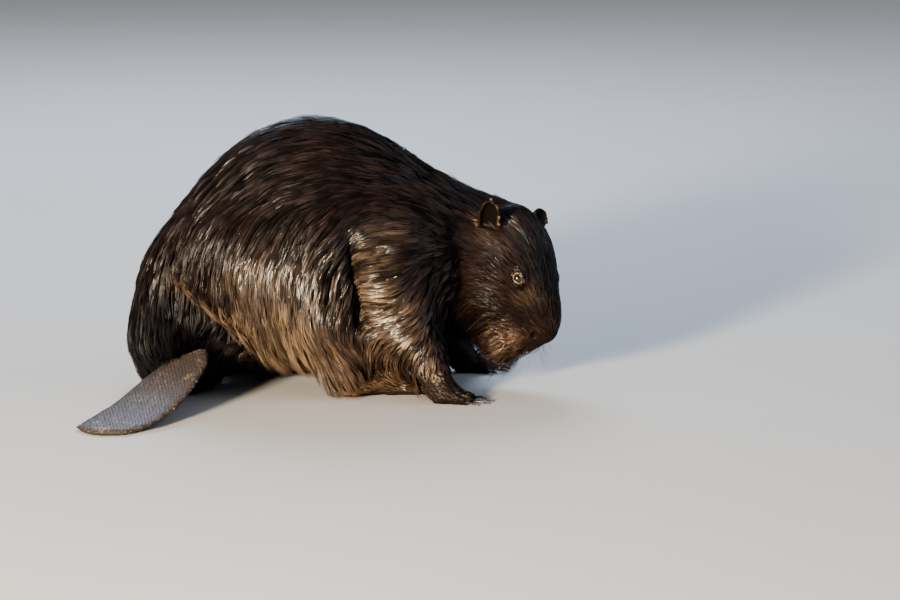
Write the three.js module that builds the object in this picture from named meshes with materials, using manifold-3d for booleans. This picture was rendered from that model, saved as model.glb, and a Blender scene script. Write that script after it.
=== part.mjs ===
// A life-size adult beaver on all fours: back humped, head lowered and turned to its right,
// flat tail laid out behind its right side. Millimetres, +X towards the head, +Y to the
// animal's left, +Z up, standing on z = 0. The body is one smooth form, the blend of named
// masses, parted into its named pieces by thin flat cuts.
import * as THREE from 'three';
import { mergeVertices } from 'three/addons/utils/BufferGeometryUtils.js';
import Module from 'manifold-3d';

const wasm = await Module();
wasm.setup();

// ---------------------------------------------------------------- driving dimensions
const GAP = 0.3; // clearance left by every cut between two pieces
const BLEND = 34; // width over which the great masses of the body flow together
const FOOT_BLEND = 9; // the same between the parts of a foot
const LIMB_BLEND = 22; // the same between a limb and the trunk

// size of the facets on each part of the body
const TRUNK_FACET = 32;
const TAIL_ROOT_FACET = 24;
const HEAD_FACET = 15.3;
const ARM_FACET = 20;
const THIGH_FACET = 26.3;
const HAND_FACET = 13.6;
const FOOT_FACET = 18.2;

// the head: where it is held and how it is turned
const HEAD_CENTRE = [281, -22, 148];
const HEAD_PITCH = 50; // degrees, nose down
const HEAD_YAW = 38; // degrees, nose towards the animal's right
const HEAD_ROLL = 13; // degrees, left side lower
const EYE_AHEAD = 12; // forward of the head's centre
const EYE_ANGLE = 23; // degrees above the head's level, as seen from the nose
const EYE_RADIUS = 8.5;
const EYE_DEPTH = 4.5; // how far the ball's centre lies under the surface
const EAR_AHEAD = -57;
const EAR_ANGLE = 19;
const EAR_LEAN = { right: [-0.5, 0.46, 0.72], left: [-0.5, 0.75, 0.45] }; // forward, outward, up
const EAR_HEIGHT = 50;
const EAR_WIDTH = 38;
const EAR_THICKNESS = 7;

// the tail
const PADDLE_LENGTH_POINTS = [
  [-154, -90, 63],
  [-176, -150, 42],
  [-206, -222, 18],
  [-238, -290, 6],
  [-268, -350, 4.5],
];
const PADDLE_HALF_WIDTH = 61;
const PADDLE_ROOT_THICKNESS = 26;
const PADDLE_TIP_THICKNESS = 11;
const PADDLE_ROLL = 22; // degrees, right edge raised where the paddle leaves the root

// the limbs: the wrist and heel of each, and the way its toes point
const HANDS = {
  right: { side: -1, wrist: [174, -126, 23], turn: 2 },
  left: { side: 1, wrist: [204, 92, 23], turn: 4 },
};
const FEET = {
  right: { side: -1, heel: [40, -84, 0], turn: -15 },
  left: { side: 1, heel: [-112, 88, 0], turn: 5 },
};
const FINGER_SPREAD = [-34, -17, 0, 16, 31]; // degrees, inner finger first
const FINGER_REACH = [46, 55, 58, 55, 47]; // from the wrist
const FINGER_RADIUS = 5.8;
const TOE_SPREAD = [-15, -8, 0, 8, 16];
const TOE_REACH = [137, 150, 158, 155, 143]; // from the heel
const TOE_RADIUS = 7.8;
const FINGER_ROOT = 14; // where a finger leaves the palm, from the wrist
const TOE_ROOT = 84; // the same, from the heel
const WEB_THICKNESS = 3.4;
const WEB_START = 96; // from the heel
const WEB_SHORT = 12; // how far the web stops short of the toes' ends
const HAND_CLAW = { length: 16, radius: 2.7, sink: 4 };
const FOOT_CLAW = { length: 13, radius: 3.4, sink: 4 };
const CLAW_CLEARANCE = 1.2; // the claws' points stay this far above the ground

const COLOURS = {
  back: 0x2e1c12,
  flank: 0x5a3a22,
  face: 0x4a2f1c,
  limb: 0x4d3220,
  hand: 0x2c221d,
  foot: 0x5b3d22,
  paddle: 0x4f4643,
  claw: 0x2a221c,
  eye: 0x0b0706,
  ear: 0x3a2416,
};

// ---------------------------------------------------------------- frames and masses
const rad = THREE.MathUtils.degToRad;

function frameAt(centre, pitch = 0, yaw = 0, roll = 0) {
  const turn = new THREE.Matrix4().makeRotationZ(rad(-yaw));
  turn.multiply(new THREE.Matrix4().makeRotationY(rad(pitch)));
  turn.multiply(new THREE.Matrix4().makeRotationX(rad(roll)));
  const frame = new THREE.Matrix4().makeTranslation(...centre).multiply(turn);
  return { frame, inverse: frame.clone().invert().elements };
}

const WORLD = frameAt([0, 0, 0]);
const HEAD = frameAt(HEAD_CENTRE, HEAD_PITCH, HEAD_YAW, -HEAD_ROLL);

function toFrame(inverse, x, y, z) {
  return [
    inverse[0] * x + inverse[4] * y + inverse[8] * z + inverse[12],
    inverse[1] * x + inverse[5] * y + inverse[9] * z + inverse[13],
    inverse[2] * x + inverse[6] * y + inverse[10] * z + inverse[14],
  ];
}

function place(where, point) {
  return new THREE.Vector3(...point).applyMatrix4(where.frame);
}

// An ellipsoid's signed distance, close to exact near its surface.
function ellipsoid(centre, radii, blend = BLEND, where = WORLD, pitch = 0) {
  const c = Math.cos(rad(pitch));
  const s = Math.sin(rad(pitch));
  const distance = (x, y, z) => {
    const [a, b, h] = toFrame(where.inverse, x, y, z);
    const dx = a - centre[0];
    const dz = h - centre[2];
    const u = (dx * c - dz * s) / radii[0];
    const v = (b - centre[1]) / radii[1];
    const w = (dx * s + dz * c) / radii[2];
    const size = Math.hypot(u, v, w);
    const slope = Math.hypot(u / radii[0], v / radii[1], w / radii[2]);
    return slope < 1e-9 ? -Math.min(...radii) : (size * (size - 1)) / slope;
  };
  return { distance, blend };
}

// A rounded cone from one ball to another.
function cone(from, fromRadius, to, toRadius, blend = BLEND, where = WORLD) {
  const axis = to.map((value, i) => value - from[i]);
  const length2 = axis.reduce((sum, value) => sum + value * value, 0);
  const distance = (x, y, z) => {
    const p = toFrame(where.inverse, x, y, z).map((value, i) => value - from[i]);
    const along = (p[0] * axis[0] + p[1] * axis[1] + p[2] * axis[2]) / length2;
    const t = Math.min(Math.max(along, 0), 1);
    const off = Math.hypot(p[0] - t * axis[0], p[1] - t * axis[1], p[2] - t * axis[2]);
    return off - (fromRadius + (toRadius - fromRadius) * t);
  };
  return { distance, blend };
}

function smoothMin(a, b, width) {
  const near = Math.max(width - Math.abs(a - b), 0) / width;
  return Math.min(a, b) - near * near * width * 0.25;
}

function blendOf(masses) {
  return (x, y, z) => masses.reduce(
    (sum, mass) => smoothMin(sum, mass.distance(x, y, z), mass.blend), 1e3);
}

const mirrored = (list) => [list, [list[0], -list[1], list[2]]];

// ---------------------------------------------------------------- the body's masses
function trunkMasses() {
  return [
    ellipsoid([8, 0, 206], [160, 132, 160]),
    ellipsoid([-89, 0, 175], [167, 116, 111], BLEND, WORLD, -52),
    ellipsoid([108, 0, 192], [150, 112, 114], BLEND, WORLD, 34),
    ellipsoid([10, 0, 126], [150, 112, 76]),
    ellipsoid([118, 0, 128], [78, 86, 66]),
  ];
}

function neckMasses() {
  return [
    cone([150, 0, 198], 90, [241, 4, 200], 61),
    cone([150, 0, 150], 70, [222, -4, 140], 50),
  ];
}

function tailRootMasses() {
  return [
    cone([-156, 4, 128], 76, [-184, -6, 68], 59),
    cone([-184, -8, 66], 57, [-170, -58, 62], 42),
    cone([-170, -58, 62], 40, [-160, -98, 60], 17),
  ];
}

function headMasses() {
  const soft = 20;
  const fine = 9;
  const masses = [
    ellipsoid([-30, 0, 9], [63, 65, 55], soft, HEAD),
    ellipsoid([14, 0, 6], [56, 42, 36], soft, HEAD),
    ellipsoid([54, 0, -8], [42, 32, 33], soft, HEAD),
    ellipsoid([53, 0, -69], [34, 27, 30], soft, HEAD),
    cone([20, 0, -52], 30, [-46, 0, -40], 44, soft, HEAD),
    ellipsoid([84, 0, -8], [12, 20, 13], fine, HEAD),
  ];
  for (const centre of mirrored([-4, 27, -16])) {
    masses.push(ellipsoid(centre, [54, 34, 38], soft, HEAD));
  }
  for (const centre of mirrored([64, 16, -36])) {
    masses.push(ellipsoid(centre, [26, 19, 26], fine, HEAD));
  }
  for (const centre of mirrored([82, 14, -7])) {
    masses.push(ellipsoid(centre, [9, 8, 8], fine, HEAD));
  }
  for (const centre of mirrored([13, 27, 32])) {
    masses.push(ellipsoid(centre, [20, 11, 8], fine, HEAD));
  }
  return masses;
}

function armMasses({ side, wrist }) {
  const shift = wrist[0] - HANDS.right.wrist[0];
  const out = (wrist[1] * side - 84) * 0.5;
  const shoulder = [126, side * 72, 204];
  const upper = [116 + shift * 0.3, side * 82, 140];
  const elbow = [126 + shift * 0.5, side * 92, 94];
  const forearm = [158 + shift * 0.9, side * (88 + out), 58];
  return [
    cone(shoulder, 58, upper, 53, LIMB_BLEND),
    cone(upper, 53, elbow, 43, LIMB_BLEND),
    cone(elbow, 43, forearm, 29, 14),
    cone(forearm, 29, [wrist[0], wrist[1] - side * 3, wrist[2]], 17, 14),
  ];
}

function legMasses({ side, heel }) {
  const shift = heel[0] - FEET.right.heel[0];
  return [
    ellipsoid([-34, side * 78, 152], [140, 58, 73], LIMB_BLEND, WORLD, 36),
    cone([38 + shift * 0.75, side * 92, 92], 46, [heel[0] + 16, heel[1], 34], 28, LIMB_BLEND),
  ];
}

function fanned(limb, origin, spread, reach, height) {
  const angle = rad(-limb.side * (spread + limb.turn));
  return [
    origin[0] + reach * Math.cos(angle),
    origin[1] - reach * Math.sin(angle),
    height,
  ];
}

function handMasses(limb) {
  const { wrist } = limb;
  return [
    ellipsoid([wrist[0] + 10, wrist[1], 12], [25, 21, 15], FOOT_BLEND),
    ellipsoid([wrist[0] + 1, wrist[1], 22], [18, 17, 17], FOOT_BLEND),
  ];
}

function footMasses(limb) {
  const { heel } = limb;
  const along = (reach, height) => fanned(limb, heel, 0, reach, height);
  return [
    cone(along(18, 20), 21, along(72, 21), 21, FOOT_BLEND),
    cone(along(72, 18), 19, along(104, 9), 13, FOOT_BLEND),
    ellipsoid(along(98, 5), [34, 29, 11], FOOT_BLEND),
  ];
}

const axial = [...trunkMasses(), ...neckMasses(), ...tailRootMasses()];
const limbMasses = [HANDS.right, HANDS.left].flatMap(armMasses)
  .concat([FEET.right, FEET.left].flatMap(legMasses));
const bodyForm = blendOf([...axial, ...limbMasses]);
const headForm = blendOf([...headMasses(), ...neckMasses()]);

// ---------------------------------------------------------------- form to facets
// Even facets on the zero surface of a form, inside a box: one corner in each grid cell
// that the surface crosses, moved onto it, and one four-sided facet for each crossed edge.
function facet(form, low, high, size) {
  const count = low.map((value, i) => Math.ceil((high[i] - value) / size) + 1);
  const at = (i, j, k) => (i * count[1] + j) * count[2] + k;
  const values = new Float64Array(count[0] * count[1] * count[2]);
  const inner = (index, axis) => index > 0 && index < count[axis] - 1;
  for (let i = 0; i < count[0]; i += 1) {
    for (let j = 0; j < count[1]; j += 1) {
      for (let k = 0; k < count[2]; k += 1) {
        const value = form(low[0] + i * size, low[1] + j * size, low[2] + k * size);
        const inside = inner(i, 0) && inner(j, 1) && inner(k, 2);
        values[at(i, j, k)] = inside ? value : Math.max(value, size * 0.4);
      }
    }
  }
  const corners = [];
  const cellCorner = new Int32Array(values.length).fill(-1);
  const steps = [[1, 0, 0], [0, 1, 0], [0, 0, 1]];
  for (let i = 0; i < count[0] - 1; i += 1) {
    for (let j = 0; j < count[1] - 1; j += 1) {
      for (let k = 0; k < count[2] - 1; k += 1) {
        const sum = [0, 0, 0];
        let crossings = 0;
        for (let e = 0; e < 12; e += 1) {
          const axis = e >> 2;
          const b = (axis + 1) % 3;
          const c = (axis + 2) % 3;
          const from = [i, j, k];
          from[b] += e & 1;
          from[c] += (e >> 1) & 1;
          const to = from.map((value, n) => value + steps[axis][n]);
          const start = values[at(...from)];
          const end = values[at(...to)];
          if (start < 0 !== end < 0) {
            const t = start / (start - end);
            from.forEach((value, n) => { sum[n] += value + t * steps[axis][n]; });
            crossings += 1;
          }
        }
        if (crossings > 0) {
          cellCorner[at(i, j, k)] = corners.length / 3;
          const raw = sum.map((value, n) => low[n] + (value / crossings) * size);
          corners.push(...settle(form, raw, size));
        }
      }
    }
  }
  const index = [];
  for (let axis = 0; axis < 3; axis += 1) {
    const b = (axis + 1) % 3;
    const c = (axis + 2) % 3;
    for (let i = axis === 0 ? 0 : 1; i < count[0] - 1; i += 1) {
      for (let j = axis === 1 ? 0 : 1; j < count[1] - 1; j += 1) {
        for (let k = axis === 2 ? 0 : 1; k < count[2] - 1; k += 1) {
          const start = values[at(i, j, k)];
          const end = values[at(i + steps[axis][0], j + steps[axis][1], k + steps[axis][2])];
          if (start < 0 !== end < 0) {
            const cell = [[0, 0], [-1, 0], [-1, -1], [0, -1]].map(([db, dc]) => {
              const where = [i, j, k];
              where[b] += db;
              where[c] += dc;
              return cellCorner[at(...where)];
            });
            const loop = start < 0 ? cell : cell.reverse();
            index.push(...splitShort(corners, loop));
          }
        }
      }
    }
  }
  return index.length ? solidOf(corners, index) : null;
}

// Moves a point along the form's slope until it lies on the surface.
function settle(form, point, size) {
  let [x, y, z] = point;
  const h = 0.05;
  for (let step = 0; step < 4; step += 1) {
    const value = form(x, y, z);
    if (Math.abs(value) > size) break;
    const gx = (form(x + h, y, z) - form(x - h, y, z)) / (2 * h);
    const gy = (form(x, y + h, z) - form(x, y - h, z)) / (2 * h);
    const gz = (form(x, y, z + h) - form(x, y, z - h)) / (2 * h);
    const steep = Math.max(gx * gx + gy * gy + gz * gz, 0.05);
    x -= (value * gx) / steep;
    y -= (value * gy) / steep;
    z -= (value * gz) / steep;
  }
  const moved = Math.hypot(x - point[0], y - point[1], z - point[2]);
  return moved > size * 0.6 ? point : [x, y, z];
}

// Two triangles from a four-sided facet, split along its shorter diagonal.
function splitShort(corners, [a, b, c, d]) {
  const gap = (m, n) => Math.hypot(
    corners[3 * m] - corners[3 * n],
    corners[3 * m + 1] - corners[3 * n + 1],
    corners[3 * m + 2] - corners[3 * n + 2]);
  return gap(a, c) < gap(b, d) ? [a, b, c, a, c, d] : [a, b, d, b, c, d];
}

function solidOf(vertices, index) {
  return new wasm.Manifold(new wasm.Mesh({
    numProp: 3,
    vertProperties: Float32Array.from(vertices),
    triVerts: Uint32Array.from(index),
  }));
}

// ---------------------------------------------------------------- solids from geometries
function solidFromGeometry(geometry) {
  const bare = geometry.clone();
  bare.deleteAttribute('normal');
  bare.deleteAttribute('uv');
  const merged = mergeVertices(bare, 1e-4);
  return solidOf(merged.attributes.position.array, merged.index.array);
}

const REACH = 1200; // a cutting block larger than the animal

// Everything on the far side of a plane, as seen against its normal.
function halfSpace(point, normal) {
  const block = new THREE.BoxGeometry(2 * REACH, 2 * REACH, 2 * REACH);
  const facing = new THREE.Vector3(...normal).normalize();
  block.applyQuaternion(new THREE.Quaternion().setFromUnitVectors(
    new THREE.Vector3(0, 0, 1), facing));
  const middle = new THREE.Vector3(...point).addScaledVector(facing, REACH);
  block.translate(middle.x, middle.y, middle.z);
  return solidFromGeometry(block);
}

// A closed body swept along a curve: a sphere's rows become the sections from end to end,
// and section(t, angle) gives each corner's place across and above the curve.
function swept(curve, rows, sides, section, across) {
  const geometry = new THREE.SphereGeometry(1, sides, rows);
  const position = geometry.attributes.position;
  const uv = geometry.attributes.uv;
  for (let n = 0; n < position.count; n += 1) {
    const t = 1 - uv.getY(n);
    const angle = uv.getX(n) * Math.PI * 2;
    const point = curve.getPoint(t);
    const forward = curve.getTangent(t);
    const side = across(t).addScaledVector(forward, -across(t).dot(forward)).normalize();
    const above = new THREE.Vector3().crossVectors(side, forward).normalize();
    const [sideways, up] = section(t, angle);
    point.addScaledVector(side, sideways).addScaledVector(above, up);
    position.setXYZ(n, point.x, point.y, point.z);
  }
  const solid = solidFromGeometry(geometry);
  return solid.volume() > 0 ? solid : solidFromGeometry(turnedOut(geometry));
}

function turnedOut(geometry) {
  const index = geometry.index;
  for (let n = 0; n < index.count; n += 3) {
    const first = index.getX(n);
    index.setX(n, index.getX(n + 1));
    index.setX(n + 1, first);
  }
  return geometry;
}

// ---------------------------------------------------------------- where the body is parted
const headForward = place(HEAD, [1, 0, 0]).sub(place(HEAD, [0, 0, 0]));
const nape = place(HEAD, [-84, 0, 0]);
const neckBase = [172, 0, 190];
const neckForward = [0.93, -0.05, -0.1];
const SHOULDER_X = 52; // between chest and barrel
const LOIN_X = -92; // between barrel and rump
const TAIL_HEIGHT = 104; // the tail's root is cut from the rump here
const ELBOW_HEIGHT = 96;
const ANKLE_HEIGHT = 44; // wrists are parted at this height too

const flip = (vector) => vector.map((value) => -value);
const beyond = (point, normal, distance) => {
  const unit = new THREE.Vector3(...normal).normalize().multiplyScalar(distance);
  return [point[0] + unit.x, point[1] + unit.y, point[2] + unit.z];
};

// A region between planes, drawn in by half the gap, or let out by it for cutting.
function region(planes, inset) {
  return planes
    .map(([point, normal]) => halfSpace(beyond(point, normal, inset), normal))
    .reduce((sum, solid) => sum.intersect(solid));
}

const forward = headForward.toArray();
const REGIONS = {
  head: [[nape.toArray(), forward], [neckBase, neckForward]],
  neck: [[nape.toArray(), flip(forward)], [neckBase, neckForward]],
  chest: [[neckBase, flip(neckForward)], [[SHOULDER_X, 0, 0], [1, 0, 0]]],
  barrel: [[[SHOULDER_X, 0, 0], [-1, 0, 0]], [[LOIN_X, 0, 0], [1, 0, 0]]],
  rump: [[[LOIN_X, 0, 0], [-1, 0, 0]], [[0, 0, TAIL_HEIGHT], [-0.35, 0, 1]]],
  tail_root: [[[LOIN_X, 0, 0], [-1, 0, 0]], [[0, 0, TAIL_HEIGHT], [0.35, 0, -1]]],
};

function armRegions(name, { side, wrist }) {
  const outer = [[0, side * 66, ELBOW_HEIGHT], [0, side, -0.16]];
  const back = [[58, 0, 0], [1, 0, 0]];
  const front = [[198, 0, 0], [-1, 0, 0]];
  return {
    [`upper_arm_${name}`]: [outer, back, front, [[0, 0, ELBOW_HEIGHT], [0, 0, 1]],
      [[0, 0, 262], [0, 0, -1]]],
    [`forearm_${name}`]: [[[0, side * 58, 0], [0, side, 0]], [[64, 0, 0], [1, 0, 0]],
      [[wrist[0] + 42, 0, 0], [-1, 0, 0]], [[0, 0, ELBOW_HEIGHT], [0, 0, -1]],
      [[0, 0, ANKLE_HEIGHT], [0, 0, 1]]],
    [`hand_${name}`]: [[[0, 0, ANKLE_HEIGHT], [0, 0, -1]],
      [[0, wrist[1] - side * 31.5, 0], [0, side, 0]],
      [[wrist[0] - 30, 0, 0], [1, 0, 0]]],
  };
}

function legRegions(name, { side, heel }) {
  const shift = (heel[0] - FEET.right.heel[0]) * 0.6;
  return {
    [`thigh_${name}`]: [[[0, side * 52, ANKLE_HEIGHT], [0, side, -0.22]],
      [[34 + shift, 0, 0], [0.588, 0, 0.809]], [[57, 0, 0], [-1, 0, 0]],
      [[0, 0, ANKLE_HEIGHT], [0, 0, 1]], [[0, 0, 236], [0, 0, -1]]],
    [`foot_${name}`]: [[[0, 0, ANKLE_HEIGHT], [0, 0, -1]], [[0, side * 14, 0], [0, side, 0]],
      [[heel[0] - 60, 0, 0], [1, 0, 0]]],
  };
}

for (const [name, limb] of Object.entries(HANDS)) Object.assign(REGIONS, armRegions(name, limb));
for (const [name, limb] of Object.entries(FEET)) Object.assign(REGIONS, legRegions(name, limb));
const LIMB_NAMES = Object.keys(REGIONS).filter((name) => /_(left|right)$/.test(name));

const ground = halfSpace([0, 0, 0], [0, 0, 1]);

// ---------------------------------------------------------------- the pieces
const group = new THREE.Group();

function finish(colour, roughness = 0.5) {
  return new THREE.MeshStandardMaterial({ color: colour, roughness, metalness: 0 });
}

function addPiece(name, solid, material) {
  const { vertProperties, triVerts } = solid.getMesh();
  const geometry = new THREE.BufferGeometry();
  geometry.setAttribute('position', new THREE.BufferAttribute(vertProperties, 3));
  geometry.setIndex(new THREE.BufferAttribute(triVerts, 1));
  geometry.computeVertexNormals();
  const mesh = new THREE.Mesh(geometry, material);
  mesh.name = name;
  group.add(mesh);
}

// The largest body of a solid, so that a cut leaves no loose crumb.
function largest(solid) {
  return solid.decompose().sort((a, b) => b.volume() - a.volume())[0];
}

function cutTo(name, whole, material, minus = []) {
  let solid = whole.intersect(region(REGIONS[name], GAP / 2)).intersect(ground);
  minus.forEach((cutter) => { solid = solid.subtract(cutter); });
  addPiece(name, largest(solid), material);
}

function armCutters() {
  return LIMB_NAMES.filter((name) => /arm/.test(name))
    .map((name) => region(REGIONS[name], -GAP / 2));
}

function buildTrunk() {
  const limbCutters = LIMB_NAMES.map((name) => region(REGIONS[name], -GAP / 2));
  const trunk = facet(bodyForm, [-290, -175, -20], [300, 175, 410], TRUNK_FACET);
  const root = facet(bodyForm, [-275, -150, -12], [-70, 100, 150], TAIL_ROOT_FACET);
  const paddleCutter = paddleSolid(GAP);
  cutTo('neck', trunk, finish(COLOURS.back), limbCutters);
  cutTo('chest', trunk, finish(COLOURS.back), limbCutters);
  cutTo('barrel', trunk, finish(COLOURS.back), limbCutters);
  cutTo('rump', trunk, finish(COLOURS.back), [...limbCutters, paddleCutter]);
  cutTo('tail_root', root, finish(COLOURS.back), [...limbCutters, paddleCutter]);
}

function paddleSolid(grow) {
  const curve = new THREE.CatmullRomCurve3(
    PADDLE_LENGTH_POINTS.map((point) => new THREE.Vector3(...point)));
  const width = (t) => {
    const blunt = Math.pow(Math.max(1 - Math.pow(Math.abs(2 * t - 1), 3.2), 0), 0.42);
    return PADDLE_HALF_WIDTH * blunt * (0.86 + 0.14 * Math.sin(Math.PI * t)) + grow;
  };
  const thick = (t) => {
    const body = THREE.MathUtils.lerp(PADDLE_ROOT_THICKNESS, PADDLE_TIP_THICKNESS,
      Math.pow(t, 0.6));
    const round = Math.pow(Math.max(1 - Math.pow(Math.abs(2 * t - 1), 9), 0), 0.5);
    return (body / 2) * round + grow;
  };
  const section = (t, angle) => {
    const ends = t === 0 || t === 1 ? 0 : 1;
    return [ends * Math.cos(angle) * width(t), ends * Math.sin(angle) * thick(t)];
  };
  const across = (t) => {
    const roll = rad(PADDLE_ROLL * (1 - t) ** 1.5);
    return new THREE.Vector3(0.8 * Math.cos(roll), -0.6 * Math.cos(roll), Math.sin(roll));
  };
  return swept(curve, 13, 14, section, across);
}

function buildPaddle() {
  addPiece('tail_paddle', paddleSolid(0).intersect(ground), finish(COLOURS.paddle, 0.6));
}

// The point of the head's surface at a place along its length, seen at an angle above its
// level, drawn in by a depth.
function onHead(side, ahead, angle, depth) {
  const along = (reach) => place(HEAD, [
    ahead, side * reach * Math.cos(rad(angle)), reach * Math.sin(rad(angle))]);
  let inside = 10;
  let outside = 110;
  for (let step = 0; step < 20; step += 1) {
    const middle = (inside + outside) / 2;
    if (headForm(...along(middle).toArray()) < 0) inside = middle;
    else outside = middle;
  }
  return along(inside - depth);
}

function headDirection(list) {
  return place(HEAD, list).sub(place(HEAD, [0, 0, 0])).normalize();
}

function eyeSolid(side, grow) {
  const middle = onHead(side, EYE_AHEAD, EYE_ANGLE, EYE_DEPTH);
  const ball = new THREE.SphereGeometry(EYE_RADIUS + grow, 10, 7);
  ball.translate(middle.x, middle.y, middle.z);
  return solidFromGeometry(ball);
}

function earSolid(side) {
  const root = onHead(side, EAR_AHEAD, EAR_ANGLE, 9);
  const [ahead, out, above] = EAR_LEAN[side > 0 ? 'left' : 'right'];
  const lean = headDirection([ahead, side * out, above]);
  const curve = new THREE.LineCurve3(root, root.clone().addScaledVector(lean, EAR_HEIGHT + 9));
  const across = () => headDirection([0.78, -side * 0.62, 0.1]);
  const section = (t, angle) => {
    const ends = t === 0 || t === 1 ? 0 : 1;
    const round = Math.pow(Math.max(1 - Math.pow(t, 3.4), 0), 0.5) * (0.7 + 0.3 * t);
    const thick = (EAR_THICKNESS / 2) * Math.pow(Math.max(1 - t ** 4, 0), 0.5);
    return [
      ends * Math.cos(angle) * (EAR_WIDTH / 2) * round,
      ends * Math.sin(angle) * thick,
    ];
  };
  return swept(curve, 7, 8, section, across);
}

function buildHead() {
  const reach = 128;
  const low = HEAD_CENTRE.map((value) => value - reach);
  const high = HEAD_CENTRE.map((value) => value + reach);
  const whole = facet(headForm, low, high, HEAD_FACET);
  const grown = facet((x, y, z) => headForm(x, y, z) - GAP, low, high, HEAD_FACET);
  const sockets = [-1, 1].map((side) => eyeSolid(side, GAP));
  cutTo('head', whole, finish(COLOURS.face), [...sockets, ...armCutters()]);
  for (const [name, side] of [['right', -1], ['left', 1]]) {
    const ear = earSolid(side).subtract(grown);
    addPiece(`ear_${name}`, largest(ear), finish(COLOURS.ear));
    addPiece(`eye_${name}`, eyeSolid(side, 0), finish(COLOURS.eye, 0.1));
  }
}

// A finger or toe, arched from inside its foot to its rounded end on the ground.
function digitSolid(limb, origin, spread, from, reach, radius) {
  const curve = new THREE.QuadraticBezierCurve3(
    new THREE.Vector3(...fanned(limb, origin, spread, from, radius * 1.2)),
    new THREE.Vector3(...fanned(limb, origin, spread, (from + reach) * 0.56, radius * 2.1)),
    new THREE.Vector3(...fanned(limb, origin, spread, reach, radius * 0.8)));
  const section = (t, angle) => {
    const ends = Math.pow(Math.max(1 - Math.pow(Math.abs(2 * t - 1), 7), 0), 0.5);
    const size = radius * (1.18 - 0.2 * t) * ends;
    return [Math.cos(angle) * size, Math.sin(angle) * size];
  };
  return swept(curve, 3, 5, section, () => new THREE.Vector3(0, 1, 0));
}

// The web between two neighbouring toes: a thin leaf that lies between them.
function webSolid(limb, origin, spreads, reach) {
  const middle = (spreads[0] + spreads[1]) / 2;
  const half = rad(spreads[1] - spreads[0]) / 2;
  const start = WEB_START;
  const end = reach - WEB_SHORT;
  const curve = new THREE.LineCurve3(
    new THREE.Vector3(...fanned(limb, origin, middle, start, 5)),
    new THREE.Vector3(...fanned(limb, origin, middle, end, 3.4)));
  const section = (t, angle) => {
    const ends = t === 0 || t === 1 ? 0 : 1;
    const width = (start + (end - start) * t) * Math.tan(half);
    return [ends * Math.cos(angle) * width, ends * Math.sin(angle) * (WEB_THICKNESS / 2)];
  };
  return swept(curve, 3, 4, section, () => new THREE.Vector3(0, 1, 0));
}

// A claw curves forward and down from its toe, above the ground.
function clawSolid(limb, origin, spread, reach, height, claw, grow) {
  const ahead = (distance, lift) => new THREE.Vector3(
    ...fanned(limb, origin, spread, reach + distance, lift));
  const curve = new THREE.QuadraticBezierCurve3(
    ahead(-claw.sink - grow, height),
    ahead(claw.length * 0.3, height + claw.radius * 0.3),
    ahead(claw.length - claw.sink, CLAW_CLEARANCE + 0.6));
  const section = (t, angle) => {
    const radius = t === 0 || t === 1 ? 0 : claw.radius * Math.pow(1 - t, 0.6) + grow;
    return [Math.cos(angle) * radius, Math.sin(angle) * radius * 0.9];
  };
  return swept(curve, 4, 5, section, () => new THREE.Vector3(0, 1, 0));
}

// Joins the digits to a hand or foot, sets a claw in each and parts it at the wrist or ankle.
function buildExtremity(name, kind, limb, origin, palm) {
  let whole = palm;
  kind.spread.forEach((spread, i) => {
    whole = whole.add(
      digitSolid(limb, origin, spread, kind.from, kind.reach[i], kind.radius));
  });
  const cutters = [];
  kind.spread.forEach((spread, i) => {
    const claw = (grow) => clawSolid(
      limb, origin, spread, kind.reach[i], kind.radius * 0.8, kind.claw, grow);
    cutters.push(claw(GAP));
    addPiece(`claw_${name}_${i + 1}`, claw(0), finish(COLOURS.claw, 0.4));
  });
  cutTo(name, whole, finish(kind.colour), cutters);
}

function buildArm(name, limb) {
  const inner = limb.side < 0 ? [-190, 40] : [-40, 190];
  const arm = facet(bodyForm, [20, inner[0], -5], [240, inner[1], 290], ARM_FACET);
  cutTo(`upper_arm_${name}`, arm, finish(COLOURS.limb));
  cutTo(`forearm_${name}`, arm, finish(COLOURS.limb));
  const { wrist } = limb;
  const handForm = blendOf([...handMasses(limb), ...armMasses(limb).slice(3)]);
  const whole = facet(handForm, [wrist[0] - 40, wrist[1] - 60, -10],
    [wrist[0] + 80, wrist[1] + 60, 60], HAND_FACET);
  const kind = {
    spread: FINGER_SPREAD,
    reach: FINGER_REACH,
    radius: FINGER_RADIUS,
    from: FINGER_ROOT,
    claw: HAND_CLAW,
    colour: COLOURS.hand,
  };
  buildExtremity(`hand_${name}`, kind, limb, wrist, whole);
}

function buildLeg(name, limb) {
  const { heel } = limb;
  const inner = limb.side < 0 ? [-190, 20] : [-20, 190];
  const leg = facet(bodyForm, [-220, inner[0], 5], [130, inner[1], 270], THIGH_FACET);
  cutTo(`thigh_${name}`, leg, finish(COLOURS.flank));
  const footForm = blendOf([...footMasses(limb), ...legMasses(limb).slice(1)]);
  let whole = facet(footForm, [heel[0] - 40, heel[1] - 75, -10],
    [heel[0] + 185, heel[1] + 75, 75], FOOT_FACET);
  for (let i = 0; i + 1 < TOE_SPREAD.length; i += 1) {
    const reach = Math.min(TOE_REACH[i], TOE_REACH[i + 1]);
    whole = whole.add(webSolid(limb, heel, TOE_SPREAD.slice(i, i + 2), reach));
  }
  const kind = {
    spread: TOE_SPREAD,
    reach: TOE_REACH,
    radius: TOE_RADIUS,
    from: TOE_ROOT,
    claw: FOOT_CLAW,
    colour: COLOURS.foot,
  };
  buildExtremity(`foot_${name}`, kind, limb, heel, whole);
}

buildTrunk();
buildPaddle();
buildHead();
for (const [name, limb] of Object.entries(HANDS)) buildArm(name, limb);
for (const [name, limb] of Object.entries(FEET)) buildLeg(name, limb);

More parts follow.
